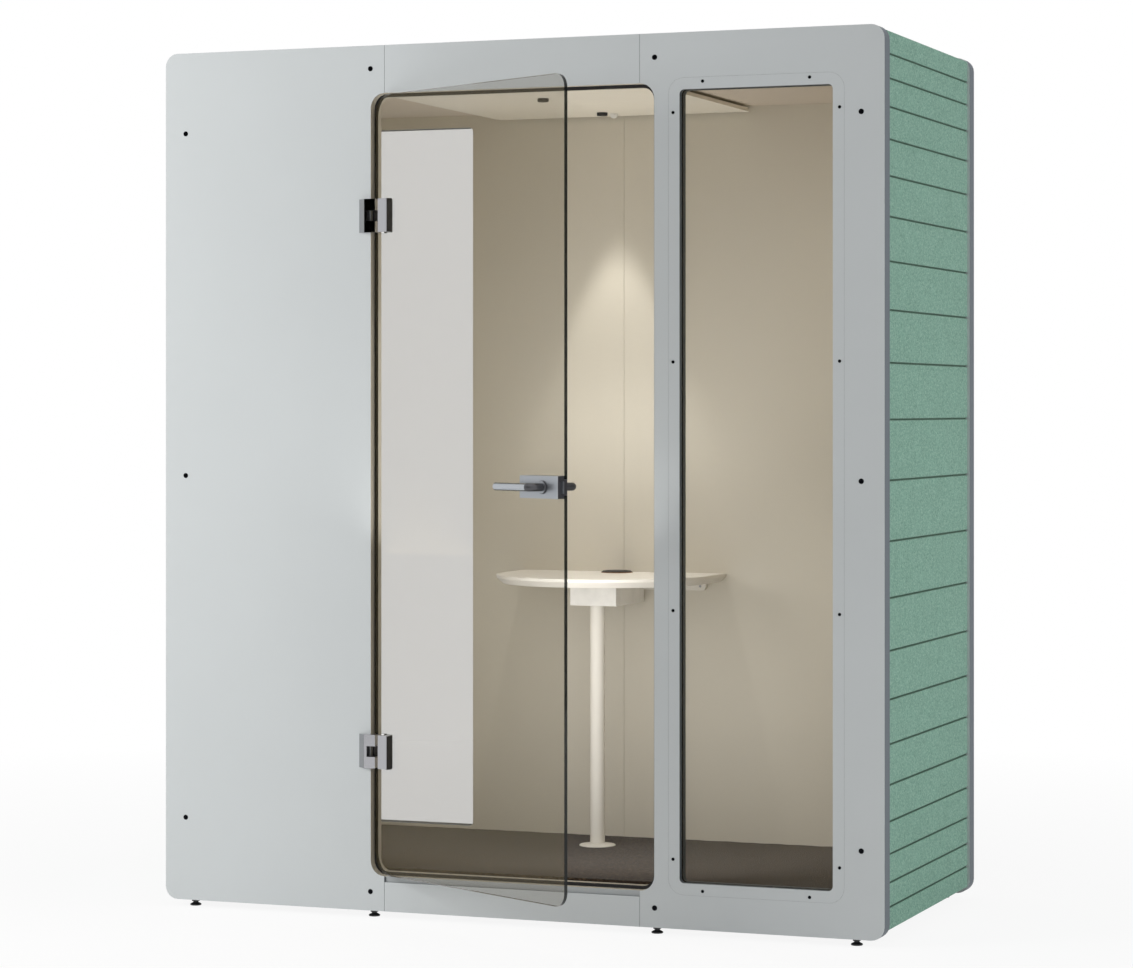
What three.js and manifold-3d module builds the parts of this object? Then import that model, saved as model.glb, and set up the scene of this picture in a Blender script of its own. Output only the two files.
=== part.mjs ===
// Acoustic office pod for two people: a glass door, two tall windows, grooved felt sides and a fixed table.
// Millimetres, +Z up. In the pod group x runs from the middle of the front, y from the front face inwards and
// z from the bottom edge of the wall panels. The finished group stands on z = 0 under its own centre.
import * as THREE from "three";
import { mergeVertices } from "three/addons/utils/BufferGeometryUtils.js";
import Module from "manifold-3d";

const wasm = await Module();
wasm.setup();

// Clearances and facet counts
const GAP = 0.3; // between pieces that are seated on each other
const SEAM = 0.8; // open joint between neighbouring wall panels
const CUT = 2; // how far a cutting tool runs past the face it opens
const ARC = 3; // pairs of facets in a rounded corner
const ROUND = 16; // facets round a turned piece

// Carcass
const WIDTH = 2000;
const DEPTH = 907;
const HEIGHT = 2273;
const PANEL_THICK = 48;
const PANEL_CORNER_R = 35;
const SIDE_INSET = 6; // side cladding stands back from the panel edges
const SIDE_BOTTOM = 18;
const SIDE_TOP_DROP = 11;
const FELT_THICK = 12;
const CORE_THICK = 80;
const LINING_THICK = 12;

// Grooves in the side felt: strips are tallest at mid height and shorten towards both ends
const GROOVE_DEPTH = 5;
const GROOVE_WIDTH = 5;
const GROOVE_FLOOR = 2;
const STRIP_TALLEST = 152;
const STRIP_STEP = 10.1;
const STRIP_SHORTEST = 61;
const END_STRIP_LEAST = 50;

// Floor and roof
const CARPET_TOP = 110;
const CARPET_THICK = 12;
const CEILING_DROP = 111; // from the top of the panels to the ceiling's underside
const CEILING_THICK = 12;
const ROOF_SHEET = 12;
const ROOF_RIM = 30;
const AIR_SLOT_LENGTH = 200;
const AIR_SLOT_WIDTH = 60;

// Ceiling raft, lights and sensor
const RAFT_WIDTH = 752;
const RAFT_MARGIN = 10; // from the front and back walls
const RAFT_DROP = 17; // from the ceiling to the raft's underside
const RAFT_THICK = 10;
const RAFT_CORNER_R = 12;
const RAFT_POST_D = 16;
const RAFT_POST_X = 295;
const RAFT_POST_MARGIN = 42;
const LIGHT_D = 30;
const LIGHT_DROP = 9;
const LIGHT_RIM = 4;
const LIGHT_RECESS = 3;
const LIGHT_X = -16;
const FRONT_LIGHT_SETBACK = 216;
const BACK_LIGHT_SETBACK = 124;
const SENSOR_D = 25;
const SENSOR_DROP = 13;
const SENSOR_COLLAR = 4;
const SENSOR_X = 3;
const SENSOR_SETBACK = 82;

// Fans in the roof
const FAN_SPREAD = 400;
const FAN_SIZE = 120;
const FAN_DEPTH = 38;
const FAN_BORE_R = 56;
const FAN_HUB_R = 22;
const FAN_MOUNT = 6;
const FAN_PIN_R = 3;
const FAN_HUB_DEPTH = 24;
const FAN_BLADES = 5;
const FAN_TIP_GAP = 3;
const BLADE_CHORD = 26;
const BLADE_THICK = 2.5;
const BLADE_PITCH_DEG = 35;
const VENT_SLOTS = 5;
const VENT_SLOT_WIDTH = 12;
const VENT_SLOT_PITCH = 20;

// Doorway, frame ring and seal
const DOORWAY_WIDTH = 790;
const SILL_HEIGHT = 92;
const RABBET_DEPTH = 5; // step along the top of the sill, below the doorway
const RABBET_TALL = 15;
const HEADER_HEIGHT = 126;
const DOORWAY_R = 39;
const FRAME_STEP = 9;
const SEAL_DEPTH = 3.4;

// Windows
const WINDOW_JAMB_MARGIN = 38; // doorway edge to bezel
const WINDOW_SIDE_MARGIN = 103.5; // bezel to the panel's outer edge
const WINDOW_BOTTOM_MARGIN = 87;
const WINDOW_TOP_MARGIN = 115;
const BEZEL_R = 40;
const BEZEL_WIDTH = 30;
const BEZEL_THICK = 17.3;
const WINDOW_R = 12;
const PANE_THICK = 8;
const PANE_OVERLAP = 15;
const GASKET_WALL = 1.2;

// Door
const DOOR_THICK = 10;
const DOOR_SETBACK = 14; // front face of the wall to the outer face of the closed door
const DOOR_GAP = 4;
const PIVOT_INSET = 6;
const PANE_HINGE_R = 60; // wide enough for the corner to swing out past the rounded doorway
const DOOR_OPEN_DEG = 29.25; // the door stands ajar

// Hinges
const HINGE_TALL = 88;
const UPPER_HINGE_DROP = 318;
const LOWER_HINGE_RISE = 324;
const HINGE_EAR = 30;
const HINGE_BLOCK_THICK = 20;
const HINGE_BLOCK_LENGTH = 33;
const HINGE_BLOCK_RELIEF = 3;
const HINGE_BLOCK_BEVEL = 23;
const HINGE_EAR_REACH = 15;
const HINGE_EAR_BACK = 7;
const HINGE_SWEEP_CLEAR = 1.8;
const HINGE_PIN_R = 2.5;
const CLAMP_LENGTH = 35;
const CLAMP_BEVEL_LENGTH = 2.5;
const CLAMP_THICK = 20;
const CLAMP_EDGE = 17.5;
const CLAMP_ARM = 4;
const CLAMP_INNER_PLATE = 6;
const CLAMP_INNER_SETBACK = 19; // the inner plate stops short of the outer one
const CLAMP_ROOT = 12;
const CLAMP_WEB_START = 20;
const NOTCH_MARGIN = 2;

// Lock, levers and latch
const LOCK_RISE = 1030; // above the bottom edge of the door
const LOCK_LENGTH = 149;
const LOCK_TALL = 56;
const LOCK_THICK = 19.7;
const LOCK_CORE_LENGTH = 85;
const LOCK_CORE_TALL = 40;
const LOCK_COVER_INSET = 26;
const SPINDLE_BACKSET = 60;
const SPINDLE_SQUARE = 8;
const SPINDLE_GRIP = 12;
const LEVER_REACH = 140;
const OUTER_LEVER_STANDOFF = 36;
const INNER_LEVER_STANDOFF = 54;
const LEVER_D = 20;
const LEVER_ELBOW_R = 16;
const LEVER_STEPS = 24;
const LEVER_FACETS = 10;
const ROSETTE_D = 33;
const ROSETTE_THICK = 4;
const LATCH_OFFSET = 6; // from the outer glass face to the middle of the latch
const LATCH_THICK = 7;
const LATCH_TALL = 30;
const LATCH_LENGTH = 40;
const LATCH_THROW = 9;
const LATCH_NOSE = 2;
const STRIKE_WIDTH = 12;
const STRIKE_TALL = 70;
const STRIKE_THICK = 2;
const STRIKE_POCKET = 10;

// Table
const TABLE_WIDTH = 608;
const TABLE_DEPTH = 454;
const TABLE_TOP = 858;
const TABLE_THICK = 24;
const TABLE_EDGE = 8;
const TABLE_BEVEL = 18;
const RAIL_LENGTH = 500;
const RAIL_TALL = 24;
const RAIL_THICK = 20;
const RAIL_R = 12;
const BOX_WIDTH = 135;
const BOX_REACH = 249;
const BOX_TALL = 59;
const COLUMN_D = 41;
const COLUMN_SETBACK = 214;
const FLANGE_D = 100;
const FLANGE_THICK = 8;
const FLANGE_EDGE = 3;
const GROMMET_D = 90;
const GROMMET_BODY_D = 70;
const GROMMET_RISE = 6;
const GROMMET_SETBACK = 59;

// Levelling feet
const FOOT_HEIGHT = 17;
const FOOT_D = 30;
const FOOT_BASE = 4;
const FOOT_CONE = 4;
const FOOT_NECK_D = 14;
const FOOT_STEM_D = 10;
const FOOT_STEM = 32;
const FOOT_CORNER_INSET = 78;

// Finishes
const finish = (color, roughness, metalness = 0) =>
  new THREE.MeshStandardMaterial({ color, roughness, metalness });
const WALL_GREY = finish(0xc2c8ca, 0.6);
const CREAM = finish(0xd4cbb7, 0.8);
const GREEN_FELT = finish(0x7fae9a, 0.95);
const CEILING_FELT = finish(0xa08e7a, 0.95);
const CARPET = finish(0x4b4037, 1);
const OFF_WHITE = finish(0xe1dad0, 0.5);
const BLACK_RUBBER = finish(0x1c1d20, 0.6);
const BLACK_METAL = finish(0x1e2028, 0.25, 0.8);
const SATIN_METAL = finish(0xa5aaaf, 0.35, 0.9);
const BOARD = finish(0xb9a88c, 0.8);
const ROOF_GREY = finish(0x8a9094, 0.5);
const BLACK_PLASTIC = finish(0x202226, 0.5);
const GLASS = finish(0xdfe6e8, 0.05);
GLASS.transparent = true;
GLASS.opacity = 0.3;

// Derived places
const halfWidth = WIDTH / 2;
const frontInner = PANEL_THICK;
const backInner = DEPTH - PANEL_THICK;
const coreFront = frontInner + GAP;
const coreBack = backInner - GAP;
const jamb = DOORWAY_WIDTH / 2;
const doorwayTop = HEIGHT - HEADER_HEIGHT;
const seamX = jamb - DOORWAY_R;
const sideTop = HEIGHT - SIDE_TOP_DROP;
const feltOuter = halfWidth - SIDE_INSET;
const coreOuter = feltOuter - FELT_THICK - GAP;
const coreInner = coreOuter - CORE_THICK;
const liningOuter = coreInner - GAP;
const cabinHalf = liningOuter - LINING_THICK;
const floorTop = CARPET_TOP - CARPET_THICK - GAP;
const ceiling = HEIGHT - CEILING_DROP;
const roofBottom = ceiling + CEILING_THICK + GAP;
const roofSheetUnder = sideTop - ROOF_SHEET;
const midDepth = DEPTH / 2;
const raftFront = frontInner + RAFT_MARGIN;
const raftBack = backInner - RAFT_MARGIN;
const raftUnder = ceiling - RAFT_DROP;
const frameFront = DOOR_SETBACK + DOOR_THICK + SEAL_DEPTH + 2 * GAP;
const pivotX = PIVOT_INSET - jamb;
const doorWidth = DOORWAY_WIDTH - PIVOT_INSET - DOOR_GAP;
const doorBottom = SILL_HEIGHT + DOOR_GAP;
const doorTop = doorwayTop - DOOR_GAP;
const lockZ = doorBottom + LOCK_RISE;
const latchDepth = DOOR_SETBACK - LATCH_OFFSET;
const hingeHeights = { upper: doorTop - UPPER_HINGE_DROP, lower: doorBottom + LOWER_HINGE_RISE };
const clampStart = Math.hypot(HINGE_EAR_REACH, HINGE_BLOCK_THICK + DOOR_SETBACK) + HINGE_SWEEP_CLEAR;
const notchDepth = clampStart + 1;
const knuckleHalf = HINGE_TALL / 2 - HINGE_EAR - GAP;
const tableUnder = TABLE_TOP - TABLE_THICK;

// Basic solids
function roundedRect(x0, z0, x1, z1, r) {
  const shape = new THREE.Shape();
  shape.absarc(x1 - r, z0 + r, r, -Math.PI / 2, 0);
  shape.absarc(x1 - r, z1 - r, r, 0, Math.PI / 2);
  shape.absarc(x0 + r, z1 - r, r, Math.PI / 2, Math.PI);
  shape.absarc(x0 + r, z0 + r, r, Math.PI, 1.5 * Math.PI);
  return shape;
}

function polygon(...points) {
  return new THREE.Shape(points.map(([x, y]) => new THREE.Vector2(x, y)));
}

function ring(outer, inner) {
  outer.holes.push(inner);
  return outer;
}

// A shape drawn in x and z, given thickness along y.
function plate(shape, y0, y1) {
  const made = new THREE.ExtrudeGeometry(shape, { depth: y1 - y0, bevelEnabled: false, curveSegments: ARC });
  return made.rotateX(Math.PI / 2).translate(0, y1, 0);
}

// A shape drawn in x and y, given height along z.
function prism(shape, z0, z1) {
  const made = new THREE.ExtrudeGeometry(shape, { depth: z1 - z0, bevelEnabled: false, curveSegments: ARC });
  return made.translate(0, 0, z0);
}

function box(x0, x1, y0, y1, z0, z1) {
  return new THREE.BoxGeometry(x1 - x0, y1 - y0, z1 - z0)
    .translate((x0 + x1) / 2, (y0 + y1) / 2, (z0 + z1) / 2);
}

// A round bar upright at x, y.
function post(r, x, y, z0, z1, facets = ROUND) {
  return new THREE.CylinderGeometry(r, r, z1 - z0, facets).rotateX(Math.PI / 2)
    .translate(x, y, (z0 + z1) / 2);
}

// A round bar lying along y at x, z.
function peg(r, x, z, y0, y1, facets = ROUND) {
  return new THREE.CylinderGeometry(r, r, y1 - y0, facets).translate(x, (y0 + y1) / 2, z);
}

// A turned piece about the upright axis at x, y, from pairs of radius and height, bottom first.
function turned(profile, x, y, facets = ROUND) {
  const points = profile.map(([r, z]) => new THREE.Vector2(r, z));
  return new THREE.LatheGeometry(points, facets).rotateX(Math.PI / 2).translate(x, y, 0);
}

// A closed solid through outlines of the same point count, each at its own height.
function stacked(layers) {
  const count = layers[0].points.length;
  const positions = layers.flatMap(({ points, z }) => points.flatMap((p) => [p.x, p.y, z]));
  const index = [];
  for (let level = 0; level + 1 < layers.length; level++) {
    for (let i = 0; i < count; i++) {
      const a = level * count + i;
      const b = level * count + ((i + 1) % count);
      index.push(a, b, b + count, a, b + count, a + count);
    }
  }
  const top = (layers.length - 1) * count;
  for (const [a, b, c] of THREE.ShapeUtils.triangulateShape(layers[0].points, [])) index.push(c, b, a);
  for (const [a, b, c] of THREE.ShapeUtils.triangulateShape(layers.at(-1).points, [])) {
    index.push(top + a, top + b, top + c);
  }
  return new THREE.BufferGeometry()
    .setAttribute("position", new THREE.Float32BufferAttribute(positions, 3))
    .setIndex(index);
}

// Cutting and joining
function toSolid(geometry) {
  const bare = new THREE.BufferGeometry().setAttribute("position", geometry.getAttribute("position"));
  bare.setIndex(geometry.index);
  const merged = mergeVertices(bare, 1e-3);
  const vertProperties = new Float32Array(merged.getAttribute("position").array);
  const triVerts = new Uint32Array(merged.index.array);
  return new wasm.Manifold(new wasm.Mesh({ numProp: 3, vertProperties, triVerts }));
}

function toGeometry(solid) {
  const { vertProperties, triVerts } = solid.getMesh();
  const made = new THREE.BufferGeometry()
    .setAttribute("position", new THREE.BufferAttribute(vertProperties, 3))
    .setIndex(new THREE.BufferAttribute(triVerts, 1));
  made.computeVertexNormals();
  return made;
}

function cut(piece, ...tools) {
  return toGeometry(tools.reduce((left, tool) => left.subtract(toSolid(tool)), toSolid(piece)));
}

function join(first, ...others) {
  return toGeometry(others.reduce((sum, other) => sum.add(toSolid(other)), toSolid(first)));
}

function common(first, second) {
  return toGeometry(toSolid(first).intersect(toSolid(second)));
}

function addPiece(group, name, geometry, material) {
  const mesh = new THREE.Mesh(geometry, material);
  mesh.name = name;
  group.add(mesh);
}

// Wall panels
function doorwayOutline(inset) {
  return roundedRect(inset - jamb, SILL_HEIGHT + inset, jamb - inset, doorwayTop - inset, DOORWAY_R - inset);
}

function jambPanelOutline(side) {
  const shape = new THREE.Shape();
  const corner = halfWidth - PANEL_CORNER_R;
  shape.absarc(-corner, PANEL_CORNER_R, PANEL_CORNER_R, Math.PI, 1.5 * Math.PI);
  shape.lineTo(-seamX, 0);
  shape.absarc(-seamX, SILL_HEIGHT + DOORWAY_R, DOORWAY_R, -Math.PI / 2, -Math.PI, true);
  shape.absarc(-seamX, doorwayTop - DOORWAY_R, DOORWAY_R, Math.PI, Math.PI / 2, true);
  shape.lineTo(-seamX, HEIGHT);
  shape.absarc(-corner, HEIGHT - PANEL_CORNER_R, PANEL_CORNER_R, Math.PI / 2, Math.PI);
  return new THREE.Shape(shape.getPoints(ARC).map((p) => new THREE.Vector2(-side * p.x, p.y)));
}

function halfPanelOutline(side) {
  const shape = new THREE.Shape();
  const corner = halfWidth - PANEL_CORNER_R;
  shape.absarc(corner, PANEL_CORNER_R, PANEL_CORNER_R, -Math.PI / 2, 0);
  shape.absarc(corner, HEIGHT - PANEL_CORNER_R, PANEL_CORNER_R, 0, Math.PI / 2);
  shape.lineTo(SEAM / 2, HEIGHT);
  shape.lineTo(SEAM / 2, 0);
  return new THREE.Shape(shape.getPoints(ARC).map((p) => new THREE.Vector2(side * p.x, p.y)));
}

const footPlaces = [
  ["outer_left", FOOT_CORNER_INSET - halfWidth],
  ["inner_left", -jamb],
  ["inner_right", jamb],
  ["outer_right", halfWidth - FOOT_CORNER_INSET],
];

function footSockets(side) {
  return footPlaces
    .filter(([, x]) => Math.sign(x) === side)
    .map(([, x]) => post(FOOT_STEM_D / 2 + GAP, x, PANEL_THICK / 2, -CUT, FOOT_STEM + GAP));
}

// The window opening, stepped from the outside: bezel pocket, rebate for the gasket, clear opening.
function windowOutline(inset, r) {
  const left = jamb + WINDOW_JAMB_MARGIN;
  const right = halfWidth - WINDOW_SIDE_MARGIN;
  const top = HEIGHT - WINDOW_TOP_MARGIN;
  return roundedRect(left + inset, WINDOW_BOTTOM_MARGIN + inset, right - inset, top - inset, r);
}

const rebateInset = BEZEL_WIDTH - PANE_OVERLAP;
const rebateR = WINDOW_R + PANE_OVERLAP;
const pocketFloor = BEZEL_THICK + GAP;
const paneFront = pocketFloor + GASKET_WALL + GAP;
const paneBack = paneFront + PANE_THICK;
const gasketBack = paneBack + GAP + GASKET_WALL;
const paneInset = rebateInset + GAP + GASKET_WALL + GAP;
const paneR = rebateR - (paneInset - rebateInset);

function windowCuts() {
  return [
    plate(windowOutline(0, BEZEL_R), -CUT, pocketFloor),
    plate(windowOutline(rebateInset, rebateR), -CUT, gasketBack + GAP),
    plate(windowOutline(BEZEL_WIDTH, WINDOW_R), -CUT, PANEL_THICK + CUT),
  ];
}

function addWindow(wall, name) {
  const opening = () => windowOutline(BEZEL_WIDTH, WINDOW_R);
  const bezel = ring(windowOutline(GAP, BEZEL_R - GAP), opening());
  addPiece(wall, `${name}_bezel`, plate(bezel, 0, BEZEL_THICK), WALL_GREY);
  addPiece(wall, `${name}_glass`, plate(windowOutline(paneInset, paneR), paneFront, paneBack), GLASS);
  const stripOutline = ring(windowOutline(rebateInset + GAP, rebateR - GAP), opening());
  const strip = plate(stripOutline, pocketFloor, gasketBack);
  const slot = plate(windowOutline(paneInset - GAP, paneR + GAP), paneFront - GAP, paneBack + GAP);
  addPiece(wall, `${name}_gasket`, cut(strip, slot), BLACK_RUBBER);
}

function strikeBox(x0, x1, halfThick, halfTall) {
  return box(x0, x1, latchDepth - halfThick, latchDepth + halfThick, lockZ - halfTall, lockZ + halfTall);
}

function addFrontWall(pod) {
  const left = plate(jambPanelOutline(-1), 0, PANEL_THICK);
  addPiece(pod, "front_left_panel", cut(left, ...footSockets(-1)), WALL_GREY);

  const mouth = LATCH_THICK / 2 + 2 * GAP;
  const mouthTall = LATCH_TALL / 2 + 2 * GAP;
  const strikeBack = jamb + STRIKE_THICK;
  const right = plate(jambPanelOutline(1), 0, PANEL_THICK);
  const strikeRecess = strikeBox(jamb - CUT, strikeBack + GAP, STRIKE_WIDTH / 2 + GAP, STRIKE_TALL / 2 + GAP);
  const strikePocket = strikeBox(jamb, jamb + STRIKE_POCKET, mouth, mouthTall);
  const rightCuts = [...footSockets(1), ...windowCuts(), strikeRecess, strikePocket];
  addPiece(pod, "front_right_panel", cut(right, ...rightCuts), WALL_GREY);

  const spanX = seamX - SEAM;
  addPiece(pod, "front_header_panel", box(-spanX, spanX, 0, PANEL_THICK, doorwayTop, HEIGHT), WALL_GREY);
  const sill = box(-spanX, spanX, 0, PANEL_THICK, 0, SILL_HEIGHT);
  const rabbet = box(-spanX - CUT, spanX + CUT, -CUT, RABBET_DEPTH, SILL_HEIGHT - RABBET_TALL, SILL_HEIGHT + CUT);
  addPiece(pod, "front_sill_panel", cut(sill, rabbet), WALL_GREY);

  const frame = ring(doorwayOutline(GAP), doorwayOutline(FRAME_STEP));
  addPiece(pod, "door_frame", plate(frame, frameFront, PANEL_THICK), CREAM);
  const seal = ring(doorwayOutline(GAP), doorwayOutline(FRAME_STEP));
  addPiece(pod, "door_seal", plate(seal, frameFront - GAP - SEAL_DEPTH, frameFront - GAP), BLACK_RUBBER);

  const strike = strikeBox(jamb, strikeBack, STRIKE_WIDTH / 2, STRIKE_TALL / 2);
  const strikeMouth = strikeBox(jamb - CUT, strikeBack + CUT, mouth, mouthTall);
  addPiece(pod, "strike_plate", cut(strike, strikeMouth), SATIN_METAL);
  addWindow(pod, "front_window");
}

// The back wall is built as a front wall and turned round, so its window bezel faces out at the back.
function addBackWall(pod) {
  const wall = new THREE.Group();
  wall.position.y = DEPTH;
  wall.rotation.z = Math.PI;
  pod.add(wall);
  const windowPanel = plate(halfPanelOutline(1), 0, PANEL_THICK);
  addPiece(wall, "back_window_panel", cut(windowPanel, ...footSockets(1), ...windowCuts()), WALL_GREY);
  const plainPanel = plate(halfPanelOutline(-1), 0, PANEL_THICK);
  addPiece(wall, "back_plain_panel", cut(plainPanel, ...footSockets(-1)), WALL_GREY);
  addWindow(wall, "back_window");
}

// Side walls
function grooveHeights() {
  const middle = (SIDE_BOTTOM + sideTop) / 2;
  const limit = (sideTop - SIDE_BOTTOM) / 2 - END_STRIP_LEAST;
  const heights = [middle];
  let strip = STRIP_TALLEST;
  for (let offset = strip; offset < limit; offset += strip) {
    heights.unshift(middle - offset);
    heights.push(middle + offset);
    strip = Math.max(strip - STRIP_STEP, STRIP_SHORTEST);
  }
  return heights;
}

function feltOutline(side) {
  const inner = feltOuter - FELT_THICK;
  const points = [[inner, sideTop], [inner, SIDE_BOTTOM], [feltOuter, SIDE_BOTTOM]];
  for (const z of grooveHeights()) {
    const floor = feltOuter - GROOVE_DEPTH;
    points.push([feltOuter, z - GROOVE_WIDTH / 2], [floor, z - GROOVE_FLOOR / 2]);
    points.push([floor, z + GROOVE_FLOOR / 2], [feltOuter, z + GROOVE_WIDTH / 2]);
  }
  points.push([feltOuter, sideTop]);
  return polygon(...points.map(([x, z]) => [side * x, z]));
}

function addSideWall(pod, name, side) {
  const slab = (x0, x1, z0, z1) =>
    box(Math.min(side * x0, side * x1), Math.max(side * x0, side * x1), coreFront, coreBack, z0, z1);
  addPiece(pod, `${name}_side_felt`, plate(feltOutline(side), coreFront, coreBack), GREEN_FELT);
  addPiece(pod, `${name}_side_core`, slab(coreInner, coreOuter, SIDE_BOTTOM, sideTop), BOARD);
  const lining = slab(cabinHalf, liningOuter, floorTop + GAP, roofBottom - GAP);
  addPiece(pod, `${name}_inner_lining`, lining, CREAM);
}

// Floor and roof
function slabBetween(half, z0, z1) {
  return box(-half, half, coreFront, coreBack, z0, z1);
}

function fanX(side) {
  return (side * FAN_SPREAD) / 2;
}

function ventSlots(side) {
  const disc = post(FAN_BORE_R, fanX(side), midDepth, roofSheetUnder - CUT, sideTop + CUT);
  return Array.from({ length: VENT_SLOTS }, (_, i) => {
    const y = midDepth + (i - (VENT_SLOTS - 1) / 2) * VENT_SLOT_PITCH;
    const x = fanX(side);
    const bar = box(x - FAN_BORE_R, x + FAN_BORE_R, y - VENT_SLOT_WIDTH / 2, y + VENT_SLOT_WIDTH / 2,
      roofSheetUnder - CUT, sideTop + CUT);
    return common(disc, bar);
  });
}

function addFloorAndRoof(pod) {
  const span = coreInner - GAP;
  addPiece(pod, "floor_cassette", slabBetween(span, SIDE_BOTTOM, floorTop), BOARD);
  addPiece(pod, "carpet", slabBetween(cabinHalf - GAP, floorTop + GAP, CARPET_TOP), CARPET);

  const hollow = box(ROOF_RIM - span, span - ROOF_RIM, coreFront + ROOF_RIM, coreBack - ROOF_RIM,
    roofBottom - CUT, roofSheetUnder);
  const tray = cut(slabBetween(span, roofBottom, sideTop), hollow, ...ventSlots(-1), ...ventSlots(1));
  addPiece(pod, "roof_tray", tray, ROOF_GREY);

  const airSlots = [-1, 1].map((side) =>
    box(fanX(side) - AIR_SLOT_LENGTH / 2, fanX(side) + AIR_SLOT_LENGTH / 2,
      midDepth - AIR_SLOT_WIDTH / 2, midDepth + AIR_SLOT_WIDTH / 2, ceiling - CUT, roofBottom + CUT));
  const panel = slabBetween(cabinHalf - GAP, ceiling, ceiling + CEILING_THICK);
  addPiece(pod, "ceiling_panel", cut(panel, ...airSlots), CEILING_FELT);
}

function addRaft(pod) {
  const half = RAFT_WIDTH / 2;
  const outline = roundedRect(-half, raftFront, half, raftBack, RAFT_CORNER_R);
  const sheet = prism(outline, raftUnder, raftUnder + RAFT_THICK);
  const posts = [];
  for (const x of [-RAFT_POST_X, RAFT_POST_X]) {
    for (const y of [raftFront + RAFT_POST_MARGIN, raftBack - RAFT_POST_MARGIN]) {
      posts.push(post(RAFT_POST_D / 2, x, y, raftUnder + RAFT_THICK / 2, ceiling - GAP));
    }
  }
  addPiece(pod, "ceiling_raft", join(sheet, ...posts), CREAM);

  const seat = raftUnder - GAP;
  const lightR = LIGHT_D / 2;
  const lens = seat - LIGHT_DROP + LIGHT_RECESS;
  const light = [[0, lens], [lightR - LIGHT_RIM, lens], [lightR - LIGHT_RIM, seat - LIGHT_DROP],
    [lightR, seat - LIGHT_DROP], [lightR, seat], [0, seat]];
  const lightPlaces = { front: raftFront + FRONT_LIGHT_SETBACK, back: raftBack - BACK_LIGHT_SETBACK };
  for (const [place, y] of Object.entries(lightPlaces)) {
    addPiece(pod, `ceiling_light_${place}`, turned(light, LIGHT_X, y), BLACK_PLASTIC);
  }

  const sensorR = SENSOR_D / 2;
  const domeDrop = SENSOR_DROP - SENSOR_COLLAR;
  const dome = [0, 0.25, 0.5, 0.75].map((share) => {
    const angle = (share * Math.PI) / 2;
    return [sensorR * Math.sin(angle), seat - SENSOR_COLLAR - domeDrop * Math.cos(angle)];
  });
  const sensor = [...dome, [sensorR, seat - SENSOR_COLLAR], [sensorR, seat], [0, seat]];
  addPiece(pod, "presence_sensor", turned(sensor, SENSOR_X, raftBack - SENSOR_SETBACK), OFF_WHITE);
}

function addFan(pod, name, side) {
  const x = fanX(side);
  const top = roofSheetUnder - GAP;
  const bottom = top - FAN_DEPTH;
  const mountTop = bottom + FAN_MOUNT;
  const half = FAN_SIZE / 2;
  const pinTop = mountTop + FAN_HUB_DEPTH - FAN_MOUNT;
  const shell = cut(box(x - half, x + half, midDepth - half, midDepth + half, bottom, top),
    post(FAN_BORE_R, x, midDepth, bottom - CUT, top + CUT, 2 * ROUND));
  const crossbar = box(x - half + CUT, x + half - CUT, midDepth - FAN_MOUNT / 2, midDepth + FAN_MOUNT / 2,
    bottom, mountTop);
  const motor = post(FAN_HUB_R, x, midDepth, bottom, mountTop);
  const pin = post(FAN_PIN_R, x, midDepth, mountTop - CUT, pinTop);
  addPiece(pod, `${name}_fan_housing`, join(shell, crossbar, motor, pin), BLACK_PLASTIC);

  const hubBottom = mountTop + GAP;
  const hub = post(FAN_HUB_R, x, midDepth, hubBottom, hubBottom + FAN_HUB_DEPTH);
  const root = FAN_HUB_R - BLADE_THICK;
  const tip = FAN_BORE_R - FAN_TIP_GAP - CUT;
  const blades = Array.from({ length: FAN_BLADES }, (_, i) =>
    new THREE.BoxGeometry(tip - root, BLADE_CHORD, BLADE_THICK)
      .rotateX(THREE.MathUtils.degToRad(BLADE_PITCH_DEG))
      .translate((tip + root) / 2, 0, 0)
      .rotateZ((i * 2 * Math.PI) / FAN_BLADES)
      .translate(x, midDepth, hubBottom + FAN_HUB_DEPTH / 2));
  const bore = post(FAN_PIN_R + GAP, x, midDepth, hubBottom - CUT, pinTop + GAP);
  addPiece(pod, `${name}_fan_rotor`, cut(join(hub, ...blades), bore), BLACK_PLASTIC);
}

// Table
function tableOutline(inset) {
  const r = TABLE_WIDTH / 2 - inset;
  const straight = backInner - (TABLE_DEPTH - TABLE_WIDTH / 2);
  const shape = new THREE.Shape();
  shape.absarc(0, straight, r, Math.PI, 2 * Math.PI);
  shape.lineTo(r, backInner - GAP);
  shape.lineTo(-r, backInner - GAP);
  return shape.getPoints(ROUND);
}

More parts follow.
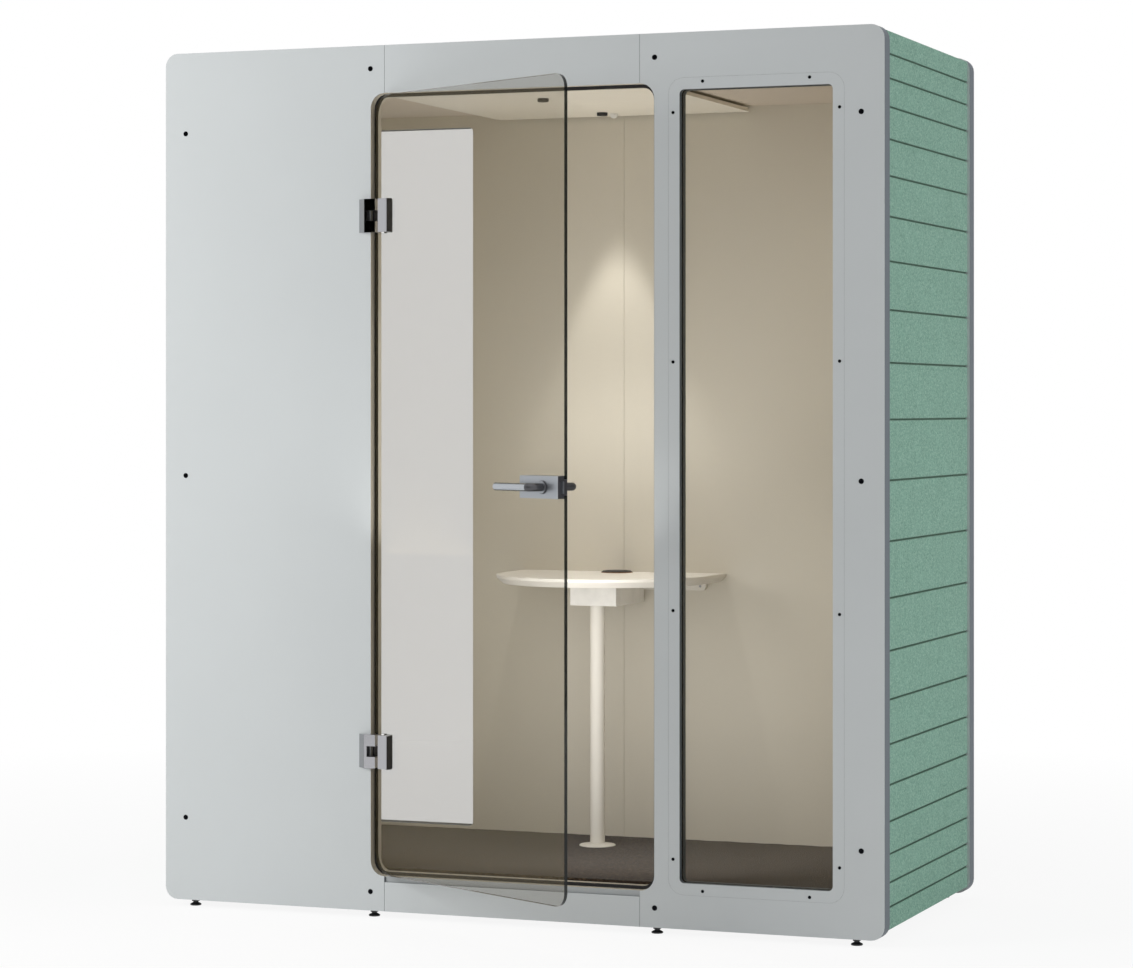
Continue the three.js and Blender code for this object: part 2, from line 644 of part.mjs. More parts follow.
function addTable(pod) {
  const edgeBottom = TABLE_TOP - TABLE_EDGE;
  const top = stacked([
    { points: tableOutline(TABLE_BEVEL), z: tableUnder },
    { points: tableOutline(0), z: edgeBottom },
    { points: tableOutline(0), z: TABLE_TOP },
  ]);
  const grommetY = backInner - GROMMET_SETBACK;
  const grommetHole = post(GROMMET_BODY_D / 2 + GAP, 0, grommetY, tableUnder - CUT, TABLE_TOP + CUT);
  addPiece(pod, "table_top", cut(top, grommetHole), OFF_WHITE);

  const collar = [[0, tableUnder], [GROMMET_BODY_D / 2, tableUnder], [GROMMET_BODY_D / 2, TABLE_TOP + GAP],
    [GROMMET_D / 2, TABLE_TOP + GAP], [GROMMET_D / 2 - GROMMET_RISE / 2, TABLE_TOP + GROMMET_RISE],
    [0, TABLE_TOP + GROMMET_RISE]];
  addPiece(pod, "cable_grommet", turned(collar, 0, grommetY), BLACK_PLASTIC);

  const seat = tableUnder - GAP;
  const half = RAIL_LENGTH / 2;
  const railBottom = seat - RAIL_TALL;
  const rail = new THREE.Shape();
  rail.absarc(RAIL_R - half, railBottom + RAIL_R, RAIL_R, Math.PI, 1.5 * Math.PI);
  rail.absarc(half - RAIL_R, railBottom + RAIL_R, RAIL_R, -Math.PI / 2, 0);
  rail.lineTo(half, seat);
  rail.lineTo(-half, seat);
  const railFront = backInner - GAP - RAIL_THICK;
  addPiece(pod, "table_wall_rail", plate(rail, railFront, backInner - GAP), OFF_WHITE);

  const boxBottom = seat - BOX_TALL;
  const boxFront = backInner - BOX_REACH;
  addPiece(pod, "table_power_box",
    box(-BOX_WIDTH / 2, BOX_WIDTH / 2, boxFront, railFront - GAP, boxBottom, seat), OFF_WHITE);

  const columnY = backInner - COLUMN_SETBACK;
  const flangeTop = CARPET_TOP + GAP + FLANGE_THICK;
  addPiece(pod, "table_column", post(COLUMN_D / 2, 0, columnY, flangeTop + GAP, boxBottom - GAP), OFF_WHITE);
  const flange = [[0, CARPET_TOP + GAP], [FLANGE_D / 2, CARPET_TOP + GAP],
    [FLANGE_D / 2, CARPET_TOP + GAP + FLANGE_EDGE], [COLUMN_D / 2 + FLANGE_EDGE, flangeTop], [0, flangeTop]];
  addPiece(pod, "table_column_flange", turned(flange, 0, columnY), OFF_WHITE);
}

// Hinges: the wall block and pin stay on the pod, the clamp turns with the glass.
function addWallHinge(pod, name, z) {
  const low = z - HINGE_TALL / 2;
  const high = z + HINGE_TALL / 2;
  const start = -jamb - HINGE_BLOCK_LENGTH;
  const face = -HINGE_BLOCK_THICK;
  const bevel = start + HINGE_BLOCK_BEVEL;
  const blockEnd = -jamb - HINGE_BLOCK_RELIEF;
  const earEnd = pivotX + HINGE_EAR_REACH;
  const earBack = DOOR_SETBACK + HINGE_EAR_BACK;
  const block = polygon([start, -GAP], [bevel, face], [blockEnd, face], [blockEnd, -GAP]);
  const ear = () => polygon([start, -GAP], [bevel, face], [earEnd, face], [earEnd, earBack],
    [GAP - jamb, earBack], [GAP - jamb, -GAP]);
  const ears = [prism(ear(), low, low + HINGE_EAR), prism(ear(), high - HINGE_EAR, high)];
  const bore = post(HINGE_PIN_R + GAP, pivotX, DOOR_SETBACK, low - CUT, high + CUT);
  addPiece(pod, `${name}_hinge_block`, cut(join(prism(block, low, high), ...ears), bore), BLACK_METAL);
  const pin = post(HINGE_PIN_R, pivotX, DOOR_SETBACK, low + GAP, high - GAP);
  addPiece(pod, `${name}_hinge_pin`, pin, SATIN_METAL);
}

function addGlassClamp(door, name, z) {
  const half = HINGE_TALL / 2;
  const end = clampStart + CLAMP_LENGTH;
  const knuckle = (x0, x1, y0, y1) => box(x0, x1, y0, y1, z - knuckleHalf, z + knuckleHalf);
  const outer = polygon([clampStart, -GAP], [clampStart, -CLAMP_THICK],
    [end - CLAMP_BEVEL_LENGTH, -CLAMP_THICK], [end, -CLAMP_EDGE], [end, -GAP]);
  const innerFace = DOOR_THICK + GAP;
  const innerBack = innerFace + CLAMP_INNER_PLATE;
  const clamp = join(
    prism(outer, z - half, z + half),
    knuckle(0, notchDepth - GAP, -CLAMP_ARM, DOOR_THICK - GAP),
    knuckle(0, clampStart + CLAMP_ROOT, -CLAMP_ARM, -GAP),
    knuckle(CLAMP_WEB_START, notchDepth - GAP, 0, innerBack),
    knuckle(CLAMP_WEB_START, notchDepth + CLAMP_ROOT, innerFace, innerBack),
    box(notchDepth, end - CLAMP_INNER_SETBACK, innerFace, innerBack, z - half, z + half),
    post(PIVOT_INSET - 2 * GAP, 0, 0, z - knuckleHalf, z + knuckleHalf),
  );
  const bore = post(HINGE_PIN_R + GAP, 0, 0, z - half, z + half);
  addPiece(door, `${name}_hinge_clamp`, cut(clamp, bore), BLACK_METAL);
}

// Lock and levers, in the door's own frame: x along the glass from the pivot, y from its outer face inwards.
const lockStart = doorWidth - LOCK_LENGTH;
const spindleX = doorWidth - SPINDLE_BACKSET;
const lockFace = -GAP - LOCK_THICK;
const coverFace = DOOR_THICK + GAP + LOCK_THICK;

function lockBox(x0, x1, y0, y1, tall) {
  return box(x0, x1, y0, y1, lockZ - tall / 2, lockZ + tall / 2);
}

function addLock(door) {
  const boreR = SPINDLE_SQUARE * Math.SQRT1_2 + GAP;
  const spindleBore = peg(boreR, spindleX, lockZ, lockFace - CUT, coverFace + CUT);
  const coreStart = doorWidth - LOCK_CORE_LENGTH;
  const latchBack = doorWidth + LATCH_THROW - LATCH_LENGTH;
  const latchHalf = LATCH_THICK / 2;
  const channel = lockBox(latchBack - LATCH_THROW - GAP, doorWidth + CUT, -LATCH_OFFSET - latchHalf - GAP,
    -LATCH_OFFSET + latchHalf + GAP, LATCH_TALL + 2 * GAP);
  const casing = join(
    lockBox(lockStart, doorWidth, lockFace, -GAP, LOCK_TALL),
    lockBox(coreStart + GAP, doorWidth, -LATCH_OFFSET, DOOR_THICK - GAP, LOCK_CORE_TALL - 2 * GAP),
  );
  addPiece(door, "lock_case", cut(casing, spindleBore, channel), SATIN_METAL);
  const cover = lockBox(lockStart, doorWidth - LOCK_COVER_INSET, DOOR_THICK + GAP, coverFace, LOCK_TALL);
  addPiece(door, "lock_inner_cover", cut(cover, spindleBore), SATIN_METAL);

  const near = -LATCH_OFFSET + latchHalf;
  const far = -LATCH_OFFSET - latchHalf;
  const tip = doorWidth + LATCH_THROW;
  const latch = polygon([latchBack, near], [latchBack, far], [tip, far], [tip, far + LATCH_NOSE],
    [tip - LATCH_THICK, near]);
  addPiece(door, "latch_bolt", prism(latch, lockZ - LATCH_TALL / 2, lockZ + LATCH_TALL / 2), SATIN_METAL);
}

// A bent round lever whose rosette stands on the face at y = face; outward is -1 outside and 1 inside.
function lever(face, outward, standoff) {
  const seat = face + outward * GAP;
  const grip = face + outward * standoff;
  const at = (x, y) => new THREE.Vector3(spindleX + x, y, lockZ);
  const path = new THREE.CurvePath();
  const bendStart = at(0, grip - outward * LEVER_ELBOW_R);
  const bendEnd = at(-LEVER_ELBOW_R, grip);
  path.add(new THREE.LineCurve3(at(0, seat + outward * GAP), bendStart));
  path.add(new THREE.QuadraticBezierCurve3(bendStart, at(0, grip), bendEnd));
  path.add(new THREE.LineCurve3(bendEnd, at(-LEVER_REACH, grip)));
  const section = new THREE.Shape().absarc(0, 0, LEVER_D / 2, 0, 2 * Math.PI);
  const sweep = { extrudePath: path, steps: LEVER_STEPS, curveSegments: LEVER_FACETS / 2 };
  const bar = new THREE.ExtrudeGeometry(section, sweep);
  const rim = seat + outward * ROSETTE_THICK;
  const rosette = peg(ROSETTE_D / 2, spindleX, lockZ, Math.min(seat, rim), Math.max(seat, rim));
  return join(bar, rosette);
}

function addLevers(door) {
  const half = SPINDLE_SQUARE / 2;
  const socketEnd = lockFace - SPINDLE_GRIP;
  const square = (clear, y0, y1) =>
    lockBox(spindleX - half - clear, spindleX + half + clear, y0, y1, SPINDLE_SQUARE + 2 * clear);
  const socket = square(GAP, socketEnd - GAP, lockFace + CUT);
  addPiece(door, "outer_lever", cut(lever(lockFace, -1, OUTER_LEVER_STANDOFF), socket), BLACK_METAL);
  const spindle = square(0, socketEnd, coverFace + ROSETTE_THICK);
  addPiece(door, "inner_lever", join(lever(coverFace, 1, INNER_LEVER_STANDOFF), spindle), BLACK_METAL);
}

function paneOutline() {
  const r = DOORWAY_R - DOOR_GAP;
  const shape = new THREE.Shape();
  shape.absarc(doorWidth - r, doorBottom + r, r, -Math.PI / 2, 0);
  shape.absarc(doorWidth - r, doorTop - r, r, 0, Math.PI / 2);
  shape.absarc(PANE_HINGE_R, doorTop - PANE_HINGE_R, PANE_HINGE_R, Math.PI / 2, Math.PI);
  shape.absarc(PANE_HINGE_R, doorBottom + PANE_HINGE_R, PANE_HINGE_R, Math.PI, 1.5 * Math.PI);
  return shape;
}

function addDoor(pod) {
  const door = new THREE.Group();
  door.position.set(pivotX, DOOR_SETBACK, 0);
  door.rotation.z = -THREE.MathUtils.degToRad(DOOR_OPEN_DEG);
  pod.add(door);

  const pane = plate(paneOutline(), 0, DOOR_THICK);
  const notchHalf = HINGE_TALL / 2 + NOTCH_MARGIN;
  const notches = Object.values(hingeHeights).map((z) =>
    box(-CUT, notchDepth, -CUT, DOOR_THICK + CUT, z - notchHalf, z + notchHalf));
  const lockNotch = lockBox(doorWidth - LOCK_CORE_LENGTH, doorWidth + CUT, -CUT, DOOR_THICK + CUT,
    LOCK_CORE_TALL);
  addPiece(door, "door_glass", cut(pane, ...notches, lockNotch), GLASS);

  for (const [name, z] of Object.entries(hingeHeights)) {
    addWallHinge(pod, name, z);
    addGlassClamp(door, name, z);
  }
  addLock(door);
  addLevers(door);
}

// Levelling feet under the front and back walls
function addFeet(pod) {
  const coneTop = FOOT_BASE + FOOT_CONE - FOOT_HEIGHT;
  const profile = [[0, -FOOT_HEIGHT], [FOOT_D / 2, -FOOT_HEIGHT], [FOOT_D / 2, FOOT_BASE - FOOT_HEIGHT],
    [FOOT_NECK_D / 2, coneTop], [FOOT_NECK_D / 2, -GAP], [FOOT_STEM_D / 2, -GAP],
    [FOOT_STEM_D / 2, FOOT_STEM], [0, FOOT_STEM]];
  const rows = { front: PANEL_THICK / 2, back: DEPTH - PANEL_THICK / 2 };
  for (const [row, y] of Object.entries(rows)) {
    for (const [place, x] of footPlaces) {
      addPiece(pod, `foot_${row}_${place}`, turned(profile, x, y), BLACK_RUBBER);
    }
  }
}

const pod = new THREE.Group();
addFrontWall(pod);
addBackWall(pod);
addSideWall(pod, "left", -1);
addSideWall(pod, "right", 1);
addFloorAndRoof(pod);
addRaft(pod);
addFan(pod, "left", -1);
addFan(pod, "right", 1);
addTable(pod);
addDoor(pod);
addFeet(pod);

// The origin lies at floor level under the middle of the object, with its door ajar.
const bounds = new THREE.Box3().setFromObject(pod, true);
const centre = bounds.getCenter(new THREE.Vector3());
pod.position.set(-centre.x, -centre.y, -bounds.min.z);

const acousticPod = new THREE.Group();
acousticPod.add(pod);

export default acousticPod;
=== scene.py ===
"""Dresses the office pod: felt, carpet, table, levers, screws and lights, with all finishes and the stage."""
import math

import bmesh
import bpy
from mathutils import Matrix, Vector


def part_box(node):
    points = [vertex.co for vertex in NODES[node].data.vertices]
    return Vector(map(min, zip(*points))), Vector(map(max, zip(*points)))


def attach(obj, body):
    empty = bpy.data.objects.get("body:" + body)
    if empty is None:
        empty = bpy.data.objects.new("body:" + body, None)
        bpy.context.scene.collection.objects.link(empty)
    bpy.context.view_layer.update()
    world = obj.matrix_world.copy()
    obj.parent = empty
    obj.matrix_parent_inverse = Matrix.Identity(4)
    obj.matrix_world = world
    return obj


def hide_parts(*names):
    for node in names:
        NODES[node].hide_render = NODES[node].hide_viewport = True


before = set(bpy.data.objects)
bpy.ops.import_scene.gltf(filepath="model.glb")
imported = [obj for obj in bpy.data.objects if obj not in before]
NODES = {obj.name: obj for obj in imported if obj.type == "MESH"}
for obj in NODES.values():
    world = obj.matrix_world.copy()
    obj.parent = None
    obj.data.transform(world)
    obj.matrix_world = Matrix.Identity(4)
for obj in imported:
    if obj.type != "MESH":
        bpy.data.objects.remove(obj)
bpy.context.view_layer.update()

bl_info = {
    "name": "Office Pod Dresser",
    "version": (1, 0, 0),
    "blender": (4, 5, 0),
    "location": "View3D > Sidebar > Office Pod",
    "description": "Models the soft and turned pieces of an acoustic office pod and gives every piece "
                   "its finish",
    "category": "Object",
}

NEAR = 1e-5  # places that differ by less are the same
WELD = 0.00002  # vertices closer than this become one
CORNER = 1.2  # angle between two faces from which their edge is a corner


def corners(node):
    """Low and high corner of a solid's box."""
    return [Vector(corner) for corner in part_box(node)]


def centre_of(node):
    """Middle of a solid's box."""
    low, high = corners(node)
    return (low + high) / 2


# Places taken from the solids
FRONT_FACE = corners("front_left_panel")[0].y
PANEL_FOOT = corners("front_left_panel")[0].z
BACK_FACE = corners("back_plain_panel")[1].y
SILL_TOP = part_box("front_sill_panel")[1][2]
HEADER_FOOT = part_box("front_header_panel")[0][2]
ROOF_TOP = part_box("roof_tray")[1][2] - 0.004
CABIN_HALF = 0.95
DOORWAY_HALF = 0.42
SILL_HALF = 0.45
STEP_DEPTH, STEP_TALL = 0.005, 0.015
SLACK = 0.002  # how far a painted zone reaches past its edges

# The door stands ajar: its own axes run along the leaf, into the cabin and up
DOOR_AJAR = math.radians(29.25)
DOOR_PIVOT = Vector((-0.389, FRONT_FACE + 0.014, PANEL_FOOT))
DOOR_PLACE = Matrix.Translation(DOOR_PIVOT) @ Matrix.Rotation(-DOOR_AJAR, 4, "Z")
LEAF = DOOR_PLACE.col[0].xyz
FACING_FRONT = Matrix.Rotation(math.pi / 2, 4, "X")
FACING_BACK = Matrix.Rotation(-math.pi / 2, 4, "X")
FACING_DOWN = Matrix.Rotation(math.pi, 4, "X")


def paint(red, green, blue):
    """Linear colour of a paint chip given in 8-bit values."""
    def linear(value):
        share = value / 255
        return share / 12.92 if share <= 0.04045 else ((share + 0.055) / 1.055) ** 2.4
    return (linear(red), linear(green), linear(blue))


def length(label, words, default):
    """A length that a user may change."""
    return bpy.props.FloatProperty(name=label, description=words, default=default, min=0.0, unit="LENGTH",
                                   subtype="DISTANCE", precision=4)


def colour(label, words, chip):
    """A colour that a user may change."""
    return bpy.props.FloatVectorProperty(name=label, description=words, default=paint(*chip), min=0.0,
                                         max=1.0, size=3, subtype="COLOR")


def power(label, words, default):
    """The power of a light that a user may change."""
    return bpy.props.FloatProperty(name=label, description=words, default=default, min=0.0, unit="POWER")


class PodSizes(bpy.types.PropertyGroup):
    """Sizes of the dressed pieces."""
    groove_width: length("Groove width", "Width of a groove at the face of the side felt", 0.006)
    groove_floor: length("Groove floor", "Width of the flat floor of a groove", 0.002)
    groove_depth: length("Groove depth", "Depth of a groove in the side felt", 0.005)
    strip_tallest: length("Tallest strip", "Height of the two middle strips of the side felt", 0.152)
    strip_step: length("Strip step", "How much each next strip is shorter", 0.0101)
    strip_shortest: length("Shortest strip", "Least height of a strip of the side felt", 0.061)
    end_strip: length("End strip", "Least height left for the strips at the ends", 0.05)
    felt_edge: length("Felt edge", "Rounding of the edges of felt pieces", 0.0016)
    carpet_cell: length("Carpet cell", "Spacing of the carpet's uneven surface", 0.022)
    carpet_unevenness: length("Carpet unevenness", "How far the carpet's surface wanders", 0.0007)
    panel_screw: length("Panel screw radius", "Radius of the screws that hold the wall panels", 0.0068)
    bezel_screw: length("Bezel screw radius", "Radius of the screws in the window bezels", 0.0042)
    column_edge: length("Column edge", "Rounding of turned white metal", 0.0012)
    hardware_edge: length("Hardware edge", "Rounding of the hinge and lock edges", 0.0007)
    table_edge: length("Table edge", "Rounding of the table top's rim", 0.0012)


class PodColours(bpy.types.PropertyGroup):
    """Colours of the finishes."""
    wall: colour("Wall", "Laminate on the outside of the walls", (212, 217, 219))
    wall_edge: colour("Wall edge", "Edge band of the wall panels", (78, 89, 98))
    cabin: colour("Cabin", "Laminate on the inside of the walls", (214, 208, 194))
    trim: colour("Trim", "Door frame and doorway", (214, 207, 192))
    felt: colour("Side felt", "Middle tone of the side felt", (128, 174, 155))
    felt_light: colour("Side felt, light fibres", "Pale fibres in the side felt", (168, 204, 187))
    felt_dark: colour("Side felt, dark fibres", "Deep fibres in the side felt", (74, 120, 102))
    # painted shade: darker felt for the shadow at the bottom of the grooves
    groove: colour("Groove", "Felt at the bottom of a groove", (56, 98, 78))
    raft: colour("Raft", "Board that hangs under the ceiling", (236, 230, 217))
    lining: colour("Lining", "Felt on the inside of the side walls", (208, 200, 184))
    ceiling: colour("Ceiling felt", "Felt above the raft", (198, 185, 163))
    carpet: colour("Carpet", "Middle tone of the carpet", (78, 65, 52))
    carpet_light: colour("Carpet, light loops", "Pale loops in the carpet", (116, 97, 78))
    carpet_dark: colour("Carpet, dark loops", "Deep loops in the carpet", (46, 38, 31))
    table: colour("Table", "Laminate of the table top", (242, 238, 230))
    white_metal: colour("White metal", "Powder coat of the table's metal", (232, 228, 219))
    white_plastic: colour("White plastic", "Sensor and power box", (236, 234, 229))
    black_plastic: colour("Black plastic", "Lights, grommet and fans", (38, 38, 41))
    rubber: colour("Rubber", "Door seal and window gaskets", (30, 30, 32))
    chrome: colour("Chrome", "Hinges", (172, 174, 178))
    satin: colour("Satin metal", "Lock case, strike and latch", (172, 176, 181))
    lever: colour("Lever black", "Levers", (24, 25, 29))
    bronze: colour("Bronze", "Rim of the cable grommet", (148, 112, 78))
    glass_tint: colour("Glass tint", "Cast of the panes", (112, 102, 76))
    # painted highlight on the door pane's edge beside the hinges, and painted shade on its other edges
    glass_edge_highlight: colour("Glass edge, hinge side", "Edge of the door pane beside the hinges", (188, 194, 190))
    glass_edge_shade: colour("Glass edge", "Polished edge of the door pane", (26, 30, 31))
    core: colour("Core", "Board inside the side walls", (70, 88, 79))
    board: colour("Board", "Raw board under the felt and the floor", (176, 158, 130))
    roof: colour("Roof", "Coated board on top", (150, 154, 157))
    floor: colour("Studio floor", "Floor that the pod stands on", (246, 246, 246))


class PodStage(bpy.types.PropertyGroup):
    """Light and camera."""
    key_power: power("Key light", "Power of the soft light on the left", 146.0)
    side_power: power("Side light", "Power of the soft light on the right", 80.0)
    top_power: power("Top light", "Power of the soft light above", 50.0)
    front_lamp_power: power("Front cabin light", "Power of the ceiling light by the door", 11.5)
    back_lamp_power: power("Back cabin light", "Power of the ceiling light over the table", 17.0)
    glow_power: power("Cabin glow", "Power of the even light inside the cabin", 4.6)
    bounce_power: power("Cabin bounce", "Power of the upward light inside the cabin", 4.0)
    world_level: bpy.props.FloatProperty(name="Room level", description="Level of the even room light",
                                         default=0.24, min=0.0, max=2.0)
    lens: bpy.props.FloatProperty(name="Lens", description="Focal length of the camera", default=104.69,
                                  min=1.0, unit="CAMERA")
    eye: bpy.props.FloatVectorProperty(name="Eye", description="Place of the camera", size=3, subtype="XYZ",
                                       default=(3.1946, -8.15269, 1.3418), unit="LENGTH")
    heading: bpy.props.FloatProperty(name="Heading", description="Turn of the camera about the vertical",
                                     default=math.radians(21.05), subtype="ANGLE", unit="ROTATION")
    rise: bpy.props.FloatProperty(name="Rise", description="Vertical shift of the camera's frame",
                                  default=-0.0685)


def sizes():
    return bpy.context.scene.pod_sizes


def colours():
    return bpy.context.scene.pod_colours


def light_levels():
    return bpy.context.scene.pod_stage


def put_down():
    """Leaves edit mode and deselects everything."""
    if bpy.context.mode != "OBJECT":
        bpy.ops.object.mode_set(mode="OBJECT")
    bpy.ops.object.select_all(action="DESELECT")


def take_up(obj):
    """Makes obj the only selected object."""
    put_down()
    obj.select_set(True)
    bpy.context.view_layer.objects.active = obj


def edit(obj):
    """Opens obj in edit mode with nothing selected."""
    take_up(obj)
    bpy.ops.object.mode_set(mode="EDIT")
    bpy.ops.mesh.select_all(action="DESELECT")


def pick(obj, kind, accepts):
    """Selects the faces, edges or vertices of the mesh in edit mode that accepts says yes to."""
    bpy.ops.mesh.select_mode(type=kind)
    bpy.ops.mesh.select_all(action="DESELECT")
    mesh = bmesh.from_edit_mesh(obj.data)
    mesh.normal_update()
    items = {"FACE": mesh.faces, "EDGE": mesh.edges, "VERT": mesh.verts}[kind]
    picked = [item for item in items if accepts(item)]
    if not picked:
        raise RuntimeError(f"nothing to select on {obj.name}")
    for item in picked:
        item.select_set(True)
    mesh.select_flush_mode()
    bmesh.update_edit_mesh(obj.data)


def pick_all():
    """Selects the whole mesh in edit mode."""
    bpy.ops.mesh.select_all(action="SELECT")


def near(first, second):
    return abs(first - second) < NEAR


def lies_at(axis, place):
    """A test of whether an edge or a face lies at a place along an axis."""
    return lambda item: all(near(v.co[axis], place) for v in item.verts)


def sharp(edge, steep=CORNER):
    """Whether two faces meet at this edge at more than the steep angle."""
    return len(edge.link_faces) == 2 and edge.calc_face_angle(0.0) > steep


def ease(width, segments):
    """Rounds the selected edges."""
    bpy.ops.mesh.bevel(offset=width, segments=segments, affect="EDGES")


def middle(item):
    """Middle of an edge or a face."""
    return sum((v.co for v in item.verts), Vector()) / len(item.verts)


def apply_place(obj):
    """Moves the object's place into its mesh."""
    take_up(obj)
    bpy.ops.object.transform_apply(location=True, rotation=True, scale=True)


def set_place(obj, place):
    """Puts a piece modelled at the origin in its place."""
    obj.matrix_world = place
    bpy.context.view_layer.update()
    apply_place(obj)


def fresh(name):
    """The object just added, under its name and with its place moved into its mesh."""
    obj = bpy.context.object
    obj.name = obj.data.name = name
    apply_place(obj)
    return obj


def stand(obj, centre):
    """Moves a turned piece sideways to its axis."""
    set_place(obj, Matrix.Translation((centre.x, centre.y, 0.0)))


def block(name, low, high):
    """A block between two corners, to be shaped further."""
    put_down()
    low, high = Vector(low), Vector(high)
    bpy.ops.mesh.primitive_cube_add(size=1.0, location=(low + high) / 2, scale=high - low)
    return fresh(name)


def slice_at(axis, places):
    """Cuts the whole mesh in edit mode across an axis at each place."""
    normal = Vector((0.0, 0.0, 0.0))
    normal[axis] = 1.0
    for place in places:
        pick_all()
        bpy.ops.mesh.bisect(plane_co=normal * place, plane_no=normal)


def push(x):
    """Moves the selected part of the mesh along X."""
    bpy.ops.transform.translate(value=(x, 0.0, 0.0))


def extrude(x, y, z):
    """Extrudes the selected faces."""
    bpy.ops.mesh.extrude_region_move(TRANSFORM_OT_translate={"value": (x, y, z)})


def turned(name, profile, sides, ring=False):
    """A piece turned about Z at the origin, one circle for each (radius, height). A ring closes on itself."""
    put_down()
    (radius, height), *rest = profile
    bpy.ops.mesh.primitive_circle_add(vertices=sides, radius=radius, location=(0.0, 0.0, height),
                                      fill_type="NOTHING" if ring else "NGON")
    obj = fresh(name)
    bpy.ops.object.mode_set(mode="EDIT")
    bpy.ops.mesh.select_mode(type="EDGE" if ring else "FACE")
    pick_all()
    grow = bpy.ops.mesh.extrude_edges_move if ring else bpy.ops.mesh.extrude_region_move
    for next_radius, next_height in [*rest, profile[0]] if ring else rest:
        grow(TRANSFORM_OT_translate={"value": (0.0, 0.0, next_height - height)})
        share = next_radius / radius
        bpy.ops.transform.resize(value=(share, share, 1.0), center_override=(0.0, 0.0, next_height))
        radius, height = next_radius, next_height
    if ring:
        pick_all()
        bpy.ops.mesh.remove_doubles(threshold=WELD)
    set_normals()
    return obj


def set_normals():
    """Points the faces of the mesh in edit mode outwards and leaves edit mode."""
    pick_all()
    bpy.ops.mesh.normals_make_consistent(inside=False)
    bpy.ops.object.mode_set(mode="OBJECT")


def round_rims(obj, width, steep=0.5):
    """Rounds every edge between two faces that meet at more than the steep angle."""
    edit(obj)
    pick(obj, "EDGE", lambda e: sharp(e, steep))
    bpy.ops.mesh.bevel(offset=width, segments=2, affect="EDGES", clamp_overlap=True)
    bpy.ops.object.mode_set(mode="OBJECT")


def joined(first, *others):
    """Several shells as one piece."""
    put_down()
    for obj in (first, *others):
        obj.select_set(True)
    bpy.context.view_layer.objects.active = first
    bpy.ops.object.join()
    return first


def copied(obj, name, place):
    """A copy with its own mesh, moved to its place."""
    twin = obj.copy()
    twin.data = obj.data.copy()
    twin.name = twin.data.name = name
    bpy.context.collection.objects.link(twin)
    twin.data.transform(place)
    return twin


def thrown_away(obj):
    """Deletes an object with its mesh."""
    mesh = obj.data
    bpy.data.objects.remove(obj)
    bpy.data.meshes.remove(mesh)


def softened(node, name, width):
    """A copy of a solid with its edges eased."""
    obj = NODES[node].copy()
    obj.data = NODES[node].data.copy()
    obj.parent = None
    obj.matrix_world = Matrix.Identity(4)
    obj.name = obj.data.name = name
    bpy.context.collection.objects.link(obj)
    edit(obj)
    pick_all()
    bpy.ops.mesh.remove_doubles(threshold=WELD)
    bpy.ops.mesh.dissolve_limited(angle_limit=math.radians(2.0))
    bpy.ops.object.mode_set(mode="OBJECT")
    bevel = obj.modifiers.new("Eased edges", "BEVEL")
    bevel.width = width
    bevel.segments = 2
    bevel.limit_method = "ANGLE"
    bevel.angle_limit = math.radians(30.0)
    take_up(obj)
    bpy.ops.object.modifier_apply(modifier=bevel.name)
    return obj


def dress(obj, body, slot, *finishes, stands_for=(), smooth=32.0):
    """Gives a finished piece its finishes, its shading and the body that it moves with."""
    materials = [ready(finish) for finish in finishes]
    if list(obj.data.materials) != materials:
        obj.data.materials.clear()
        for material in materials:
            obj.data.materials.append(material)
    take_up(obj)
    bpy.ops.object.shade_smooth_by_angle(angle=math.radians(smooth))
    level = obj.modifiers.new("Even faces", "WEIGHTED_NORMAL")
    level.keep_sharp = True
    bpy.ops.object.modifier_apply(modifier=level.name)
    put_down()
    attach(obj, body)
    if stands_for:
        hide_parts(*stands_for)
    return obj


def finish_faces(obj, number, accepts):
    """Gives the faces that accepts says yes to another of the piece's finishes."""
    edit(obj)
    pick(obj, "FACE", accepts)
    obj.active_material_index = number
    bpy.ops.object.material_slot_assign()
    obj.active_material_index = 0
    put_down()


def set_out(pattern, body, slot, finish, places):
    """Sets a copy of a pattern at each named place and deletes the pattern."""
    for name, place in places:
        dress(copied(pattern, name, place), body, slot, finish)
    thrown_away(pattern)


def coat(finish, *names):
    """Puts a finish on solids that stay as they are."""
    material = ready(finish)
    for name in names:
        node = NODES[name]
        if not node.material_slots:
            node.data.materials.append(material)
        for slot in node.material_slots:
            slot.material = material


